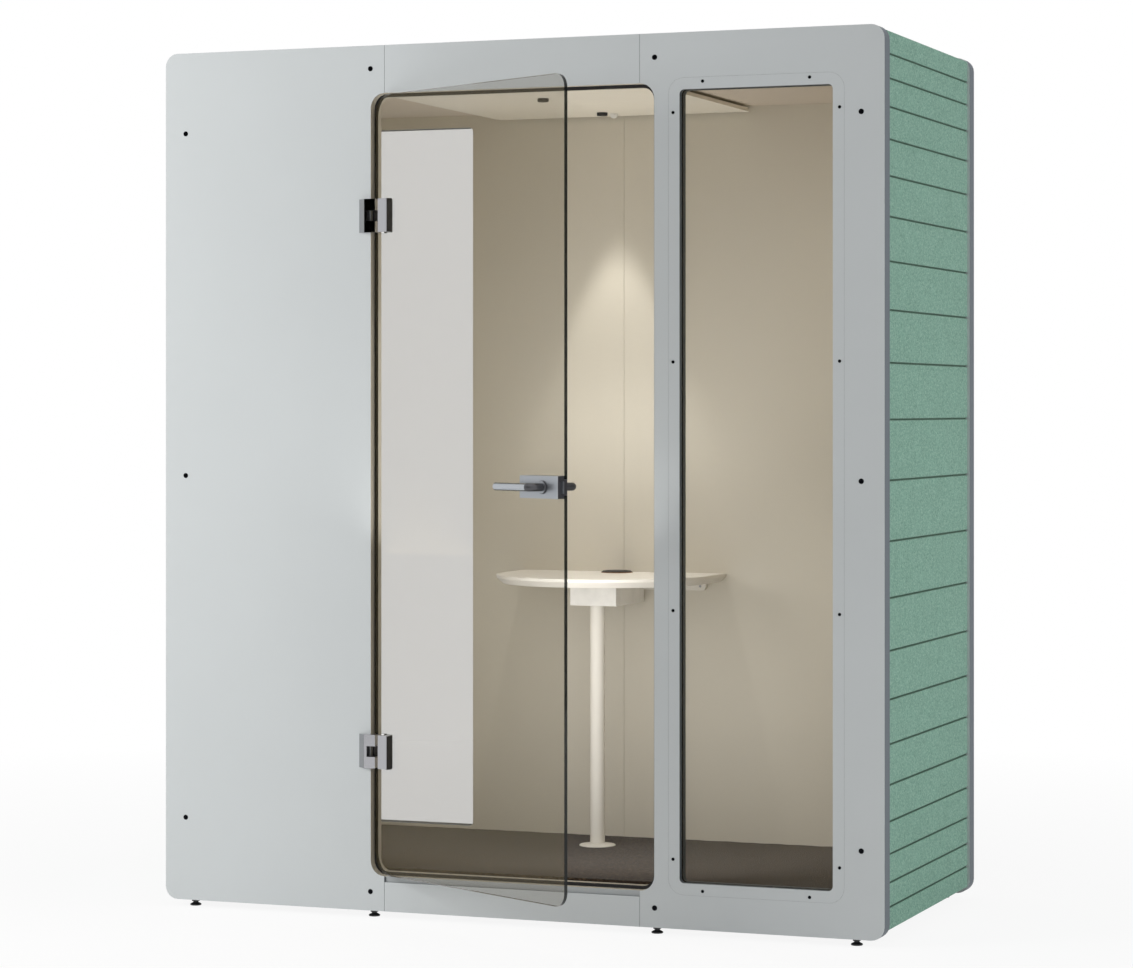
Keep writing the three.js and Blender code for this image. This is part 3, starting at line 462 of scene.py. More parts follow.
class Finish:
    """A material under construction: its nodes are added one after the other."""

    def __init__(self, name, roughness=0.5, metallic=0.0):
        self.material = bpy.data.materials.new(name)
        self.material.use_nodes = True
        self.tree = self.material.node_tree
        self.shader = self.tree.nodes["Principled BSDF"]
        self.set(roughness=roughness, metallic=metallic)
        place = self.tree.nodes.new("ShaderNodeTexCoord")
        self.spot, self.normal = place.outputs["Object"], place.outputs["Normal"]

    def fill(self, node, sockets):
        """Fills sockets of a node, each with a value or with the output of another node."""
        for words, value in sockets.items():
            socket = node.inputs[words.replace("_", " ").title().replace("Ior", "IOR")]
            if isinstance(value, bpy.types.NodeSocket):
                self.link(value, socket)
            else:
                socket.default_value = value

    def set(self, **sockets):
        """Fills sockets of the shader."""
        self.fill(self.shader, sockets)

    def add(self, kind, output, **sockets):
        """Adds a node, fills its sockets and gives one of its outputs."""
        node = self.tree.nodes.new(f"ShaderNode{kind}")
        self.fill(node, sockets)
        return node.outputs[output]

    def link(self, output, target):
        self.tree.links.new(output, target)

    def mapped(self, scale=(1.0, 1.0, 1.0), turn=(0.0, 0.0, 0.0)):
        """Object coordinates, stretched or turned."""
        return self.add("Mapping", "Vector", scale=scale, rotation=turn, vector=self.spot)

    def noise(self, scale, detail=3.0, roughness=0.55, vector=None):
        return self.add("TexNoise", "Fac", scale=scale, detail=detail, roughness=roughness,
                        vector=vector or self.spot)

    def cells(self, scale, vector):
        return self.add("TexVoronoi", "Distance", scale=scale, vector=vector)

    def spread(self, value, low, high, to_low=0.0, to_high=1.0):
        """Stretches the part of a value between low and high over a new range."""
        return self.add("MapRange", "Result", from_min=low, from_max=high, to_min=to_low, to_max=to_high,
                        value=value)

    def sums(self, operation, first, second):
        node = self.tree.nodes.new("ShaderNodeMath")
        node.operation = operation
        for socket, value in zip(node.inputs, (first, second)):
            if isinstance(value, (int, float)):
                socket.default_value = value
            else:
                self.link(value, socket)
        return node.outputs["Value"]

    def size(self, value):
        """A value without its sign."""
        return self.sums("ABSOLUTE", value, 0.0)

    def over(self, value, limit):
        """1 where a value is over a limit, 0 elsewhere."""
        return self.sums("GREATER_THAN", value, limit)

    def under(self, value, limit):
        """1 where a value is under a limit, 0 elsewhere."""
        return self.sums("LESS_THAN", value, limit)

    def both(self, first, *others):
        """1 where every one of the shares is 1."""
        for other in others:
            first = self.sums("MULTIPLY", first, other)
        return first

    def blend(self, share, first, second):
        """Mixes two colours, each a colour or the output of a node."""
        node = self.tree.nodes.new("ShaderNodeMix")
        node.data_type = "RGBA"
        self.link(share, node.inputs[0])
        for socket, value in ((node.inputs[6], first), (node.inputs[7], second)):
            if isinstance(value, bpy.types.NodeSocket):
                self.link(value, socket)
            else:
                socket.default_value = (*value, 1.0)
        return node.outputs[2]

    def facing(self, axis):
        """The part of the surface's own direction along an axis of the object."""
        return self.add("SeparateXYZ", axis, vector=self.normal)

    def along(self, axis):
        """Place along an axis of the object."""
        return self.add("SeparateXYZ", axis, vector=self.spot)

    def base(self, value):
        self.set(base_color=value)

    def rough(self, value):
        self.set(roughness=value)

    def relief(self, height, strength, distance):
        self.set(normal=self.add("Bump", "Normal", strength=strength, distance=distance, height=height))


def toned(rgb, share):
    return tuple(min(1.0, value * share) for value in rgb)


def ready(name):
    """The finish of that name, made when it is first asked for."""
    return bpy.data.materials.get(name) or FINISHES[name](name, colours())


def wall_laminate(name, inward):
    """Laminated panel: grey outside, cream on the side that faces the cabin, with a darker edge band. On the
    front, painted shade darkens the step under the doorway.
    """
    c = colours()
    finish = Finish(name, 0.5)
    speck = finish.noise(1400.0, 2.0)
    cloud = finish.noise(1.7, 3.0)
    outside = finish.blend(finish.spread(cloud, 0.3, 0.7), c.wall, toned(c.wall, 0.965))
    outside = finish.blend(finish.spread(speck, 0.55, 0.75), outside, toned(c.wall, 0.93))
    inside = finish.blend(finish.spread(cloud, 0.3, 0.7), c.cabin, toned(c.cabin, 0.96))
    inside = finish.blend(finish.spread(speck, 0.55, 0.75), inside, toned(c.cabin, 0.92))
    facing = finish.facing("Y")
    offset = finish.size(finish.along("X"))
    height = finish.along("Z")
    in_cabin = finish.both(finish.under(offset, CABIN_HALF), finish.under(height, ROOF_TOP))
    cabin_side = finish.both(in_cabin, finish.over(finish.sums("MULTIPLY", facing, inward), 0.5))
    banded = finish.under(finish.size(facing), 0.5)
    band = finish.blend(finish.spread(speck, 0.4, 0.7), c.wall_edge, toned(c.wall_edge, 0.9))
    in_doorway = finish.both(finish.under(offset, DOORWAY_HALF), finish.over(height, SILL_TOP - SLACK),
                             finish.under(height, HEADER_FOOT + SLACK))
    edge = finish.blend(in_doorway, band, c.trim)
    if inward > 0:
        # painted shade: the recessed step of the sill under the doorway is darkened for the shadow in it
        step_shade = finish.both(finish.over(finish.along("Y"), FRONT_FACE + STEP_DEPTH - SLACK / 2),
                              finish.under(height, SILL_TOP + SLACK),
                              finish.over(height, SILL_TOP - STEP_TALL), finish.under(offset, SILL_HALF))
        outside = finish.blend(step_shade, outside, toned(c.wall, 0.7))
    finish.base(finish.blend(banded, finish.blend(cabin_side, outside, inside), edge))
    finish.rough(finish.spread(speck, 0.3, 0.7, 0.46, 0.58))
    finish.relief(speck, 0.06, 0.0002)
    return finish.material


def painted(name, rgb, roughness, fine=900.0, depth=0.12):
    """Even paint or powder coat with a faint orange peel."""
    finish = Finish(name, roughness)
    peel = finish.noise(fine, 3.0)
    cloud = finish.noise(4.0, 3.0)
    tone = finish.blend(finish.spread(cloud, 0.3, 0.7), rgb, toned(rgb, 0.95))
    finish.base(finish.blend(finish.spread(peel, 0.55, 0.8), tone, toned(rgb, 0.9)))
    finish.rough(finish.spread(peel, 0.3, 0.7, roughness - 0.06, roughness + 0.08))
    finish.relief(peel, depth, 0.0003)
    return finish.material


def felted(name, tone, light, dark, depth=0.5):
    """Pressed felt: short fibres lying every way, in three tones."""
    finish = Finish(name, 0.95)
    fibre_a = finish.noise(420.0, 4.0, 0.7, finish.mapped((1.0, 0.35, 1.0), (0.5, 0.3, 0.2)))
    fibre_b = finish.noise(520.0, 4.0, 0.7, finish.mapped((1.0, 1.0, 0.4), (-0.6, 0.4, 0.9)))
    cloud = finish.noise(14.0, 3.0)
    tuft = finish.noise(130.0, 2.0)
    base = finish.blend(finish.spread(cloud, 0.35, 0.65), tone, toned(tone, 0.92))
    base = finish.blend(finish.spread(fibre_a, 0.52, 0.72), base, light)
    base = finish.blend(finish.spread(fibre_b, 0.55, 0.75), base, dark)
    fleck = finish.noise(250.0, 2.0, 0.6)
    base = finish.blend(finish.spread(fleck, 0.53, 0.68, 0.0, 0.75), base, light)
    base = finish.blend(finish.spread(fleck, 0.47, 0.32, 0.0, 0.75), base, dark)
    finish.base(base)
    finish.rough(finish.spread(tuft, 0.3, 0.7, 0.86, 1.0))
    finish.relief(finish.sums("ADD", fibre_a, finish.sums("MULTIPLY", tuft, 0.8)), depth, 0.0012)
    finish.set(sheen_weight=0.25, sheen_roughness=0.5, specular_ior_level=0.15)
    return finish.material


def looped_carpet(name):
    """Low loop carpet in brown greys, with streaks along the rows of loops."""
    c = colours()
    finish = Finish(name, 1.0)
    loops = finish.cells(260.0, finish.mapped((1.0, 1.6, 1.0)))
    streak = finish.noise(30.0, 5.0, 0.7, finish.mapped((1.0, 6.0, 1.0)))
    fleck = finish.noise(150.0, 3.0, 0.7, finish.mapped((1.0, 0.3, 1.0), (0.0, 0.0, 0.4)))
    base = finish.blend(finish.spread(streak, 0.4, 0.6), toned(c.carpet, 0.72), c.carpet)
    base = finish.blend(finish.spread(fleck, 0.5, 0.64), base, c.carpet_light)
    base = finish.blend(finish.spread(fleck, 0.5, 0.36), base, c.carpet_dark)
    base = finish.blend(finish.spread(loops, 0.3, 0.7), base, c.carpet_dark)
    finish.base(base)
    finish.rough(finish.spread(fleck, 0.3, 0.7, 0.9, 1.0))
    finish.relief(finish.sums("SUBTRACT", finish.sums("MULTIPLY", fleck, 0.6), loops), 0.7, 0.003)
    finish.set(sheen_weight=0.2, specular_ior_level=0.1)
    return finish.material


def brushed(name, rgb, roughness, stretch=(60.0, 60.0, 1.0), wear=0.06):
    """Metal with fine brush lines."""
    finish = Finish(name, roughness, 1.0)
    lines = finish.noise(28.0, 5.0, 0.7, finish.mapped(stretch))
    smear = finish.noise(9.0, 3.0)
    finish.base(finish.blend(finish.spread(lines, 0.3, 0.7), toned(rgb, 0.86), rgb))
    worn = finish.sums("ADD", finish.spread(lines, 0.3, 0.7, -wear, wear),
                       finish.spread(smear, 0.3, 0.7, -wear / 2, wear))
    finish.rough(finish.sums("ADD", worn, roughness))
    finish.relief(lines, 0.05, 0.0002)
    return finish.material


def moulded(name, rgb, roughness):
    """Moulded plastic with a fine spark grain."""
    finish = Finish(name, roughness)
    grain = finish.noise(1600.0, 2.0)
    cloud = finish.noise(20.0, 3.0)
    finish.base(finish.blend(finish.spread(cloud, 0.3, 0.7), rgb, toned(rgb, 0.88)))
    finish.rough(finish.spread(grain, 0.3, 0.7, roughness - 0.07, roughness + 0.07))
    finish.relief(grain, 0.15, 0.0002)
    return finish.material


def rubbery(name):
    """Black rubber with a faint bloom."""
    rgb = colours().rubber
    finish = Finish(name, 0.62)
    bloom = finish.noise(45.0, 4.0)
    finish.base(finish.blend(finish.spread(bloom, 0.4, 0.75), rgb, toned(rgb, 1.5)))
    finish.rough(finish.spread(bloom, 0.3, 0.7, 0.54, 0.74))
    finish.relief(finish.noise(700.0, 2.0), 0.12, 0.0002)
    return finish.material


def clear_glass(name, see_through, edge_axis=None):
    """Clear pane with a faint warm grey cast. With edge_axis, the direction along a leaf, its edges show as
    nearly opaque painted light: a painted highlight on the edge beside the hinges and painted shade on the
    other edges.
    """
    c = colours()
    finish = Finish(name, 0.03)
    haze = finish.noise(2.2, 3.0)
    tint = finish.blend(finish.spread(haze, 0.3, 0.7), c.glass_tint, toned(c.glass_tint, 0.9))
    skin = finish.add("LayerWeight", "Fresnel", blend=0.12)
    alpha = finish.spread(skin, 0.0, 1.0, see_through, 0.8)
    if edge_axis is None:
        finish.base(tint)
    else:
        dot = finish.tree.nodes.new("ShaderNodeVectorMath")
        dot.operation = "DOT_PRODUCT"
        finish.link(finish.normal, dot.inputs[0])
        dot.inputs[1].default_value = edge_axis
        along_leaf = dot.outputs["Value"]
        on_side = finish.over(finish.size(along_leaf), 0.35)
        on_end = finish.over(finish.size(finish.facing("Z")), 0.35)
        at_edge = finish.sums("MAXIMUM", on_side, on_end)
        at_hinge = finish.under(along_leaf, -0.7)
        # painted highlight on the edge beside the hinges, painted shade on the other edges of the pane
        finish.base(finish.blend(at_edge, tint, finish.blend(at_hinge, c.glass_edge_shade, c.glass_edge_highlight)))
        alpha = finish.sums("MAXIMUM", alpha, finish.sums("MULTIPLY", at_edge, 0.94))
    finish.set(alpha=alpha)
    finish.rough(finish.spread(haze, 0.3, 0.7, 0.02, 0.05))
    finish.set(specular_ior_level=0.22)
    return finish.material


def chipboard(name, rgb):
    """Pressed board of small chips."""
    finish = Finish(name, 0.8)
    chips = finish.cells(140.0, finish.mapped((1.0, 1.0, 2.0)))
    dust = finish.noise(60.0, 4.0)
    base = finish.blend(finish.spread(chips, 0.1, 0.6), toned(rgb, 0.8), rgb)
    finish.base(finish.blend(finish.spread(dust, 0.5, 0.75), base, toned(rgb, 1.15)))
    finish.rough(finish.spread(dust, 0.3, 0.7, 0.72, 0.9))
    finish.relief(chips, 0.2, 0.0006)
    return finish.material


def glowing_lens(name):
    """Frosted lens of a small light."""
    finish = Finish(name, 0.35)
    frost = finish.noise(900.0, 2.0)
    finish.base(finish.blend(frost, paint(255, 246, 228), paint(240, 228, 204)))
    finish.relief(frost, 0.2, 0.0002)
    finish.set(emission_color=(1.0, 0.84, 0.6, 1.0), emission_strength=2.2)
    return finish.material


LEVER_LINES = (4.0, 4.0, 60.0)
EVEN_LINES = (30.0, 30.0, 30.0)

# How each finish is made from its name and the colours
FINISHES = {
    "front_wall_laminate": lambda n, c: wall_laminate(n, 1.0),
    "back_wall_laminate": lambda n, c: wall_laminate(n, -1.0),
    "cream_trim_paint": lambda n, c: painted(n, c.trim, 0.5),
    "cream_raft_paint": lambda n, c: painted(n, c.raft, 0.55),
    "table_laminate": lambda n, c: painted(n, c.table, 0.42, 1300.0, 0.06),
    "white_powder_coat": lambda n, c: painted(n, c.white_metal, 0.45, 800.0, 0.2),
    "foot_black_coat": lambda n, c: painted(n, c.rubber, 0.4, 700.0, 0.25),
    "roof_board": lambda n, c: painted(n, c.roof, 0.6, 500.0, 0.2),
    "green_side_felt": lambda n, c: felted(n, c.felt, c.felt_light, c.felt_dark),
    # felt with painted shade for the grooves
    "green_groove_painted_shade": lambda n, c: felted(n, c.groove, toned(c.groove, 1.4), toned(c.groove, 0.6)),
    "cream_lining_felt": lambda n, c: felted(n, c.lining, toned(c.lining, 1.08), toned(c.lining, 0.86), 0.25),
    "ceiling_felt": lambda n, c: felted(n, c.ceiling, toned(c.ceiling, 1.2), toned(c.ceiling, 0.75), 0.4),
    "looped_carpet": lambda n, c: looped_carpet(n),
    "white_moulding": lambda n, c: moulded(n, c.white_plastic, 0.45),
    "black_moulding": lambda n, c: moulded(n, c.black_plastic, 0.45),
    "seal_rubber": lambda n, c: rubbery(n),
    "polished_chrome": lambda n, c: brushed(n, c.chrome, 0.09, wear=0.02),
    "satin_steel": lambda n, c: brushed(n, c.satin, 0.34),
    "lever_black": lambda n, c: brushed(n, c.lever, 0.3, LEVER_LINES),
    "lever_satin": lambda n, c: brushed(n, toned(c.satin, 1.15), 0.22, LEVER_LINES, 0.03),
    "screw_black": lambda n, c: brushed(n, toned(c.lever, 0.8), 0.36, EVEN_LINES),
    "bronze_ring": lambda n, c: brushed(n, c.bronze, 0.28, EVEN_LINES),
    "raw_board": lambda n, c: chipboard(n, c.board),
    "core_board": lambda n, c: chipboard(n, c.core),
    "door_pane_glass": lambda n, c: clear_glass(n, 0.17, LEAF),
    "window_pane_glass": lambda n, c: clear_glass(n, 0.1),
    "light_lens": lambda n, c: glowing_lens(n),
}


def groove_heights(low, high):
    """Heights of the grooves in a felt side. The strips shorten from mid height to the ends."""
    s = sizes()
    centre = (low + high) / 2
    limit = (high - low) / 2 - s.end_strip
    heights = [centre]
    strip = offset = s.strip_tallest
    while offset < limit:
        heights += [centre - offset, centre + offset]
        strip = max(strip - s.strip_step, s.strip_shortest)
        offset += strip
    return sorted(heights)


class POD_OT_side_felt(bpy.types.Operator):
    """Models the grooved felt cladding of both sides"""
    bl_idname = "pod.side_felt"
    bl_label = "Side Felt"

    def execute(self, context):
        for name, outward in (("left", -1.0), ("right", 1.0)):
            node = f"{name}_side_felt"
            low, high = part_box(node)
            obj = block(f"{name}_felt_cladding", low, high)
            self.cut_grooves(obj, outward, low, high)
            dress(obj, "shell", "side_felt", "green_side_felt", "green_groove_painted_shade", stands_for=(node,))
            self.paint_groove_shade(obj, outward)
        return {"FINISHED"}

    def cut_grooves(self, obj, outward, low, high):
        s = sizes()
        face = high[0] if outward > 0 else low[0]
        grooves = groove_heights(low[2], high[2])
        edit(obj)
        for z in grooves:
            slice_at(2, [z - s.groove_width / 2, z - s.groove_floor / 2, z + s.groove_floor / 2,
                         z + s.groove_width / 2])
        on_face = lies_at(0, face)
        in_floor = lambda f: any(abs(middle(f).z - z) < s.groove_floor * 0.4 for z in grooves)
        pick(obj, "FACE", lambda f: on_face(f) and in_floor(f))
        push(-outward * s.groove_depth)
        shoulder = lambda e: any(near(abs(middle(e).z - z), s.groove_width / 2) for z in grooves)
        level = lambda e: near(e.verts[0].co.z, e.verts[1].co.z)
        pick(obj, "EDGE", lambda e: on_face(e) and shoulder(e) and level(e))
        ease(s.felt_edge, 3)
        pick(obj, "EDGE", lambda e: on_face(e) and sharp(e))
        ease(s.felt_edge * 1.5, 3)
        set_normals()

    def paint_groove_shade(self, obj, outward):
        """Painted shade: the floor and lower walls of each groove get a darker felt tone that stands for the
        shadow inside the groove.
        """
        s = sizes()
        face = max(v.co.x * outward for v in obj.data.vertices)
        deep = lambda f: face - max(v.co.x * outward for v in f.verts) > s.groove_depth * 0.5
        back = lambda f: min(v.co.x * outward for v in f.verts) > face - s.groove_depth * 1.1
        walls = lambda f: back(f) and face - middle(f).x * outward > s.groove_depth * 0.35
        # painted shade on the groove floors and the deep part of the groove walls
        finish_faces(obj, 1, lambda f: (deep(f) and back(f)) or walls(f))


class POD_OT_linings(bpy.types.Operator):
    """Models the felt linings of the side walls and of the ceiling"""
    bl_idname = "pod.linings"
    bl_label = "Linings"

    SEAM = 0.0016
    SLOT_HALF_LONG = 0.1
    SLOT_HALF_WIDE = 0.03

    def execute(self, context):
        for name, inward in (("left", 1.0), ("right", -1.0)):
            self.line_wall(name, inward)
        self.line_ceiling()
        return {"FINISHED"}

    def line_wall(self, name, inward):
        s = sizes()
        node = f"{name}_inner_lining"
        low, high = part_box(node)
        face = high[0] if inward > 0 else low[0]
        seam = (low[1] + high[1]) / 2
        obj = block(f"{name}_felt_lining", low, high)
        edit(obj)
        slice_at(1, [seam - self.SEAM, seam, seam + self.SEAM])
        on_face = lies_at(0, face)
        pick(obj, "VERT", lambda v: near(v.co.x, face) and near(v.co.y, seam))
        push(-inward * self.SEAM)
        pick(obj, "EDGE", lambda e: on_face(e) and sharp(e))
        ease(s.felt_edge, 3)
        set_normals()
        dress(obj, "shell", "cream_lining", "cream_lining_felt", stands_for=(node,))

    def line_ceiling(self):
        """The panel over the raft, with an air slot below each fan."""
        low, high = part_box("ceiling_panel")
        obj = block("ceiling_felt_panel", low, high)
        centres = [centre_of(f"{name}_fan_housing") for name in ("left", "right")]
        half_long, half_wide = self.SLOT_HALF_LONG, self.SLOT_HALF_WIDE
        edit(obj)
        for centre in centres:
            slice_at(0, [centre.x - half_long, centre.x + half_long])
        slice_at(1, [centres[0].y - half_wide, centres[0].y + half_wide])
        for centre in centres:
            within = lambda f: (abs(f.normal.z) > 0.9 and abs(middle(f).x - centre.x) < half_long * 0.5
                                and abs(middle(f).y - centre.y) < half_wide * 0.5)
            pick(obj, "FACE", within)
            bpy.ops.mesh.bridge_edge_loops()
        at_bottom = lies_at(2, low[2])
        pick(obj, "EDGE", lambda e: sharp(e) and at_bottom(e))
        ease(sizes().felt_edge, 2)
        set_normals()
        dress(obj, "shell", "ceiling_felt", "ceiling_felt", stands_for=("ceiling_panel",))


class POD_OT_carpet(bpy.types.Operator):
    """Models the carpet with a slightly uneven surface"""
    bl_idname = "pod.carpet"
    bl_label = "Carpet"

    EDGE = 0.003

    def execute(self, context):
        s = sizes()
        low, high = corners("carpet")
        top = high.z - s.carpet_unevenness
        obj = block("loop_carpet", low, (high.x, high.y, top))
        edit(obj)
        pick(obj, "EDGE", lies_at(2, top))
        ease(self.EDGE, 2)
        for axis in (0, 1):
            count = int((high[axis] - low[axis]) / s.carpet_cell)
            step = (high[axis] - low[axis]) / count
            slice_at(axis, [low[axis] + step * i for i in range(1, count)])
        pick(obj, "VERT", lambda v: v.co.z > top - 10 * NEAR)
        bpy.ops.transform.vertex_random(offset=s.carpet_unevenness, uniform=0.0, normal=1.0, seed=7)
        set_normals()
        dress(obj, "shell", "carpet", "looped_carpet", stands_for=("carpet",), smooth=40.0)
        return {"FINISHED"}


class POD_OT_screws(bpy.types.Operator):
    """Models one panel screw and one bezel screw and sets them on both walls"""
    bl_idname = "pod.screws"
    bl_label = "Screws"

    PANEL_PLACES = [(x, z) for x in (-0.94, 0.94) for z in (0.221, 1.139, 2.057)]
    SEAM_PLACES = [(x, z) for x in (-0.396, 0.396) for z in (0.05, 2.212)]
    BEZEL_PLACES = [(x, z) for x in (0.4456, 0.8841) for z in (0.1765, 0.807, 1.4375, 2.07)]
    BEZEL_END_PLACES = [(x, z) for x in (0.5245, 0.8063) for z in (0.099, 2.147)]

    def execute(self, context):
        s = sizes()
        walls = (("front", FRONT_FACE, FACING_FRONT, 1.0), ("back", BACK_FACE, FACING_BACK, -1.0))
        groups = (("panel", s.panel_screw, self.PANEL_PLACES + self.SEAM_PLACES),
                  ("bezel", s.bezel_screw, self.BEZEL_PLACES + self.BEZEL_END_PLACES))
        for kind, radius, spots in groups:
            places = [(f"{wall}_{kind}_screw_{number}",
                       Matrix.Translation((hand * x, face, PANEL_FOOT + z)) @ facing)
                      for wall, face, facing, hand in walls for number, (x, z) in enumerate(spots, 1)]
            pattern = socket_screw(f"{kind}_screw_pattern", radius)
            set_out(pattern, "shell", "black_plastic", "screw_black", places)
        return {"FINISHED"}


def socket_screw(name, radius):
    """A low round head with a six-sided socket, standing on z = 0 and facing up."""
    head = turned(name, [(radius, -0.0006), (radius, 0.0004), (radius * 0.94, 0.0009),
                         (radius * 0.8, 0.0011)], 32)
    put_down()
    bpy.ops.mesh.primitive_cylinder_add(vertices=6, radius=radius * 0.5, depth=0.002,
                                        location=(0.0, 0.0, 0.0014))
    key = bpy.context.object
    apply_place(key)
    socket = head.modifiers.new("Socket", "BOOLEAN")
    socket.operation = "DIFFERENCE"
    socket.solver = "EXACT"
    socket.object = key
    take_up(head)
    bpy.ops.object.modifier_apply(modifier=socket.name)
    thrown_away(key)
    return head


class POD_OT_table(bpy.types.Operator):
    """Models the table top, column, flange and cable grommet, with the screws of its rail"""
    bl_idname = "pod.table"
    bl_label = "Table"

    BEVEL = 0.018
    RIM = 0.008
    RAIL_SCREW = 0.0035
    RAIL_SCREW_PLACES = (0.016, 0.1)  # from each end of the rail

    def execute(self, context):
        self.top()
        self.column()
        self.grommet()
        self.rail_screws()
        coat("white_powder_coat", "table_wall_rail")
        coat("white_moulding", "table_power_box")
        return {"FINISHED"}

    def top(self):
        s = sizes()
        low, high = corners("table_top")
        radius = (high.x - low.x) / 2
        centre = Vector((0.0, low.y + radius, high.z))
        put_down()
        bpy.ops.mesh.primitive_circle_add(vertices=160, radius=radius, fill_type="NGON", location=centre)
        obj = fresh("table_board")
        edit(obj)
        pick_all()
        bpy.ops.mesh.bisect(plane_co=centre, plane_no=(0.0, 1.0, 0.0), clear_outer=True)
        pick(obj, "EDGE", lies_at(1, centre.y))
        bpy.ops.mesh.extrude_edges_move(TRANSFORM_OT_translate={"value": (0.0, high.y - centre.y, 0.0)})
        bpy.ops.mesh.select_mode(type="FACE")
        pick_all()
        extrude(0.0, 0.0, -self.RIM)
        extrude(0.0, 0.0, low.z - high.z + self.RIM)
        share = (radius - self.BEVEL) / radius
        under = lambda v: near(v.co.z, low.z)
        pick(obj, "VERT", lambda v: under(v) and v.co.y <= centre.y + NEAR)
        bpy.ops.transform.resize(value=(share, share, 1.0), center_override=(0.0, centre.y, low.z))
        pick(obj, "VERT", lambda v: under(v) and v.co.y > high.y - 10 * NEAR)
        bpy.ops.transform.resize(value=(share, 1.0, 1.0), center_override=(0.0, high.y, low.z))
        set_normals()
        round_rims(obj, s.table_edge, 0.35)
        dress(obj, "shell", "table_white", "table_laminate", stands_for=("table_top",))

    def column(self):
        s = sizes()
        low, high = corners("table_column")
        radius, foot = (high.x - low.x) / 2, (low + high) / 2
        tube = turned("table_leg", [(radius, low.z), (radius, (low.z + high.z) / 2), (radius, high.z)], 64)
        stand(tube, foot)
        round_rims(tube, s.column_edge)
        dress(tube, "shell", "white_metal", "white_powder_coat", stands_for=("table_column",))
        low, high = corners("table_column_flange")
        wide = (high.x - low.x) / 2
        flange = turned("table_leg_flange", [(wide, low.z), (wide, low.z + 0.002),
                                             (wide - 0.002, low.z + 0.0035),
                                             (radius + 0.006, high.z - 0.0008),
                                             (radius + 0.003, high.z)], 64)
        stand(flange, foot)
        dress(flange, "shell", "white_metal", "white_powder_coat",
              stands_for=("table_column_flange",), smooth=20.0)

    def grommet(self):
        low, high = corners("cable_grommet")
        radius, centre = (high.x - low.x) / 2, (low + high) / 2
        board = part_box("table_top")[1][2]
        lid = turned("grommet_lid", [(radius - 0.012, low.z), (radius - 0.012, board),
                                     (radius - 0.0025, board + 0.0003), (radius - 0.0025, board + 0.003),
                                     (radius - 0.006, high.z - 0.0006), (radius - 0.012, high.z),
                                     (radius - 0.014, high.z - 0.002), (radius - 0.022, high.z - 0.002),
                                     (radius - 0.024, high.z - 0.0006), (0.004, high.z - 0.0004)], 64)
        stand(lid, centre)
        dress(lid, "shell", "black_plastic", "black_moulding", stands_for=("cable_grommet",))
        rim = turned("grommet_rim", [(radius - 0.0024, board + 0.0003), (radius - 0.0024, board + 0.0022),
                                     (radius - 0.001, board + 0.0022), (radius, board + 0.0012),
                                     (radius, board + 0.0003)], 64, ring=True)
        stand(rim, centre)
        dress(rim, "shell", "black_plastic", "bronze_ring")

    def rail_screws(self):
        low, high = corners("table_wall_rail")
        near_end, inward = self.RAIL_SCREW_PLACES
        spots = (low.x + near_end, low.x + inward, high.x - inward, high.x - near_end)
        height = (low.z + high.z) / 2
        places = [(f"rail_screw_{number}", Matrix.Translation((x, low.y, height)) @ FACING_FRONT)
                  for number, x in enumerate(spots, 1)]
        pattern = socket_screw("rail_screw_pattern", self.RAIL_SCREW)
        set_out(pattern, "shell", "satin_metal", "satin_steel", places)


class POD_OT_ceiling_fittings(bpy.types.Operator):
    """Models the small lights, the presence sensor and the caps of the ceiling raft"""
    bl_idname = "pod.ceiling_fittings"
    bl_label = "Ceiling Fittings"

    COLLAR = 0.004
    CAP_HALF = 0.295
    CAP_INSET = 0.042

    def execute(self, context):
        for place in ("front", "back"):
            self.light(place)
        self.sensor()
        self.caps()
        coat("cream_raft_paint", "ceiling_raft")
        return {"FINISHED"}

    def light(self, place):
        node = f"ceiling_light_{place}"
        low, high = corners(node)
        radius, centre, drop = (high.x - low.x) / 2, (low + high) / 2, high.z - low.z
        hung = Matrix.Translation((centre.x, centre.y, high.z)) @ FACING_DOWN
        body = turned(f"light_body_{place}", [(radius, 0.0), (radius, drop - 0.0012), (radius - 0.0012, drop),
                                              (radius - 0.003, drop), (radius - 0.0042, drop - 0.003)], 56)
        set_place(body, hung)
        dress(body, "shell", "black_plastic", "black_moulding", stands_for=(node,))
        rim = radius - 0.0046
        lens = turned(f"light_lens_{place}", [(rim, drop - 0.0034), (rim, drop - 0.0026),
                                              (radius * 0.45, drop - 0.0018),
                                              (radius * 0.2, drop - 0.0015)], 40)
        set_place(lens, hung)
        dress(lens, "shell", "white_plastic", "light_lens", smooth=60.0)

    def sensor(self):
        low, high = corners("presence_sensor")
        radius, centre, drop = (high.x - low.x) / 2, (low + high) / 2, high.z - low.z
        collar = self.COLLAR
        steps = [math.radians(angle) for angle in (10, 24, 38, 52, 66, 80)]
        dome = [(radius * 0.92 * math.cos(a), collar + (drop - collar) * math.sin(a)) for a in steps]
        obj = turned("sensor_dome", [(radius, 0.0), (radius, collar - 0.0008), (radius * 0.97, collar),
                                     *dome], 56)
        set_place(obj, Matrix.Translation((centre.x, centre.y, high.z)) @ FACING_DOWN)
        dress(obj, "shell", "white_plastic", "white_moulding", stands_for=("presence_sensor",), smooth=35.0)

    def caps(self):
        low, high = corners("ceiling_raft")
        pattern = turned("raft_cap_pattern", [(0.0085, 0.0), (0.0085, 0.0008), (0.0075, 0.0014),
                                              (0.004, 0.0016)], 36)
        spots = [(x, y) for x in (-self.CAP_HALF, self.CAP_HALF)
                 for y in (low.y + self.CAP_INSET, high.y - self.CAP_INSET)]
        places = [(f"raft_cap_{number}", Matrix.Translation((x, y, low.z)) @ FACING_DOWN)
                  for number, (x, y) in enumerate(spots, 1)]
        set_out(pattern, "shell", "white_plastic", "white_moulding", places)


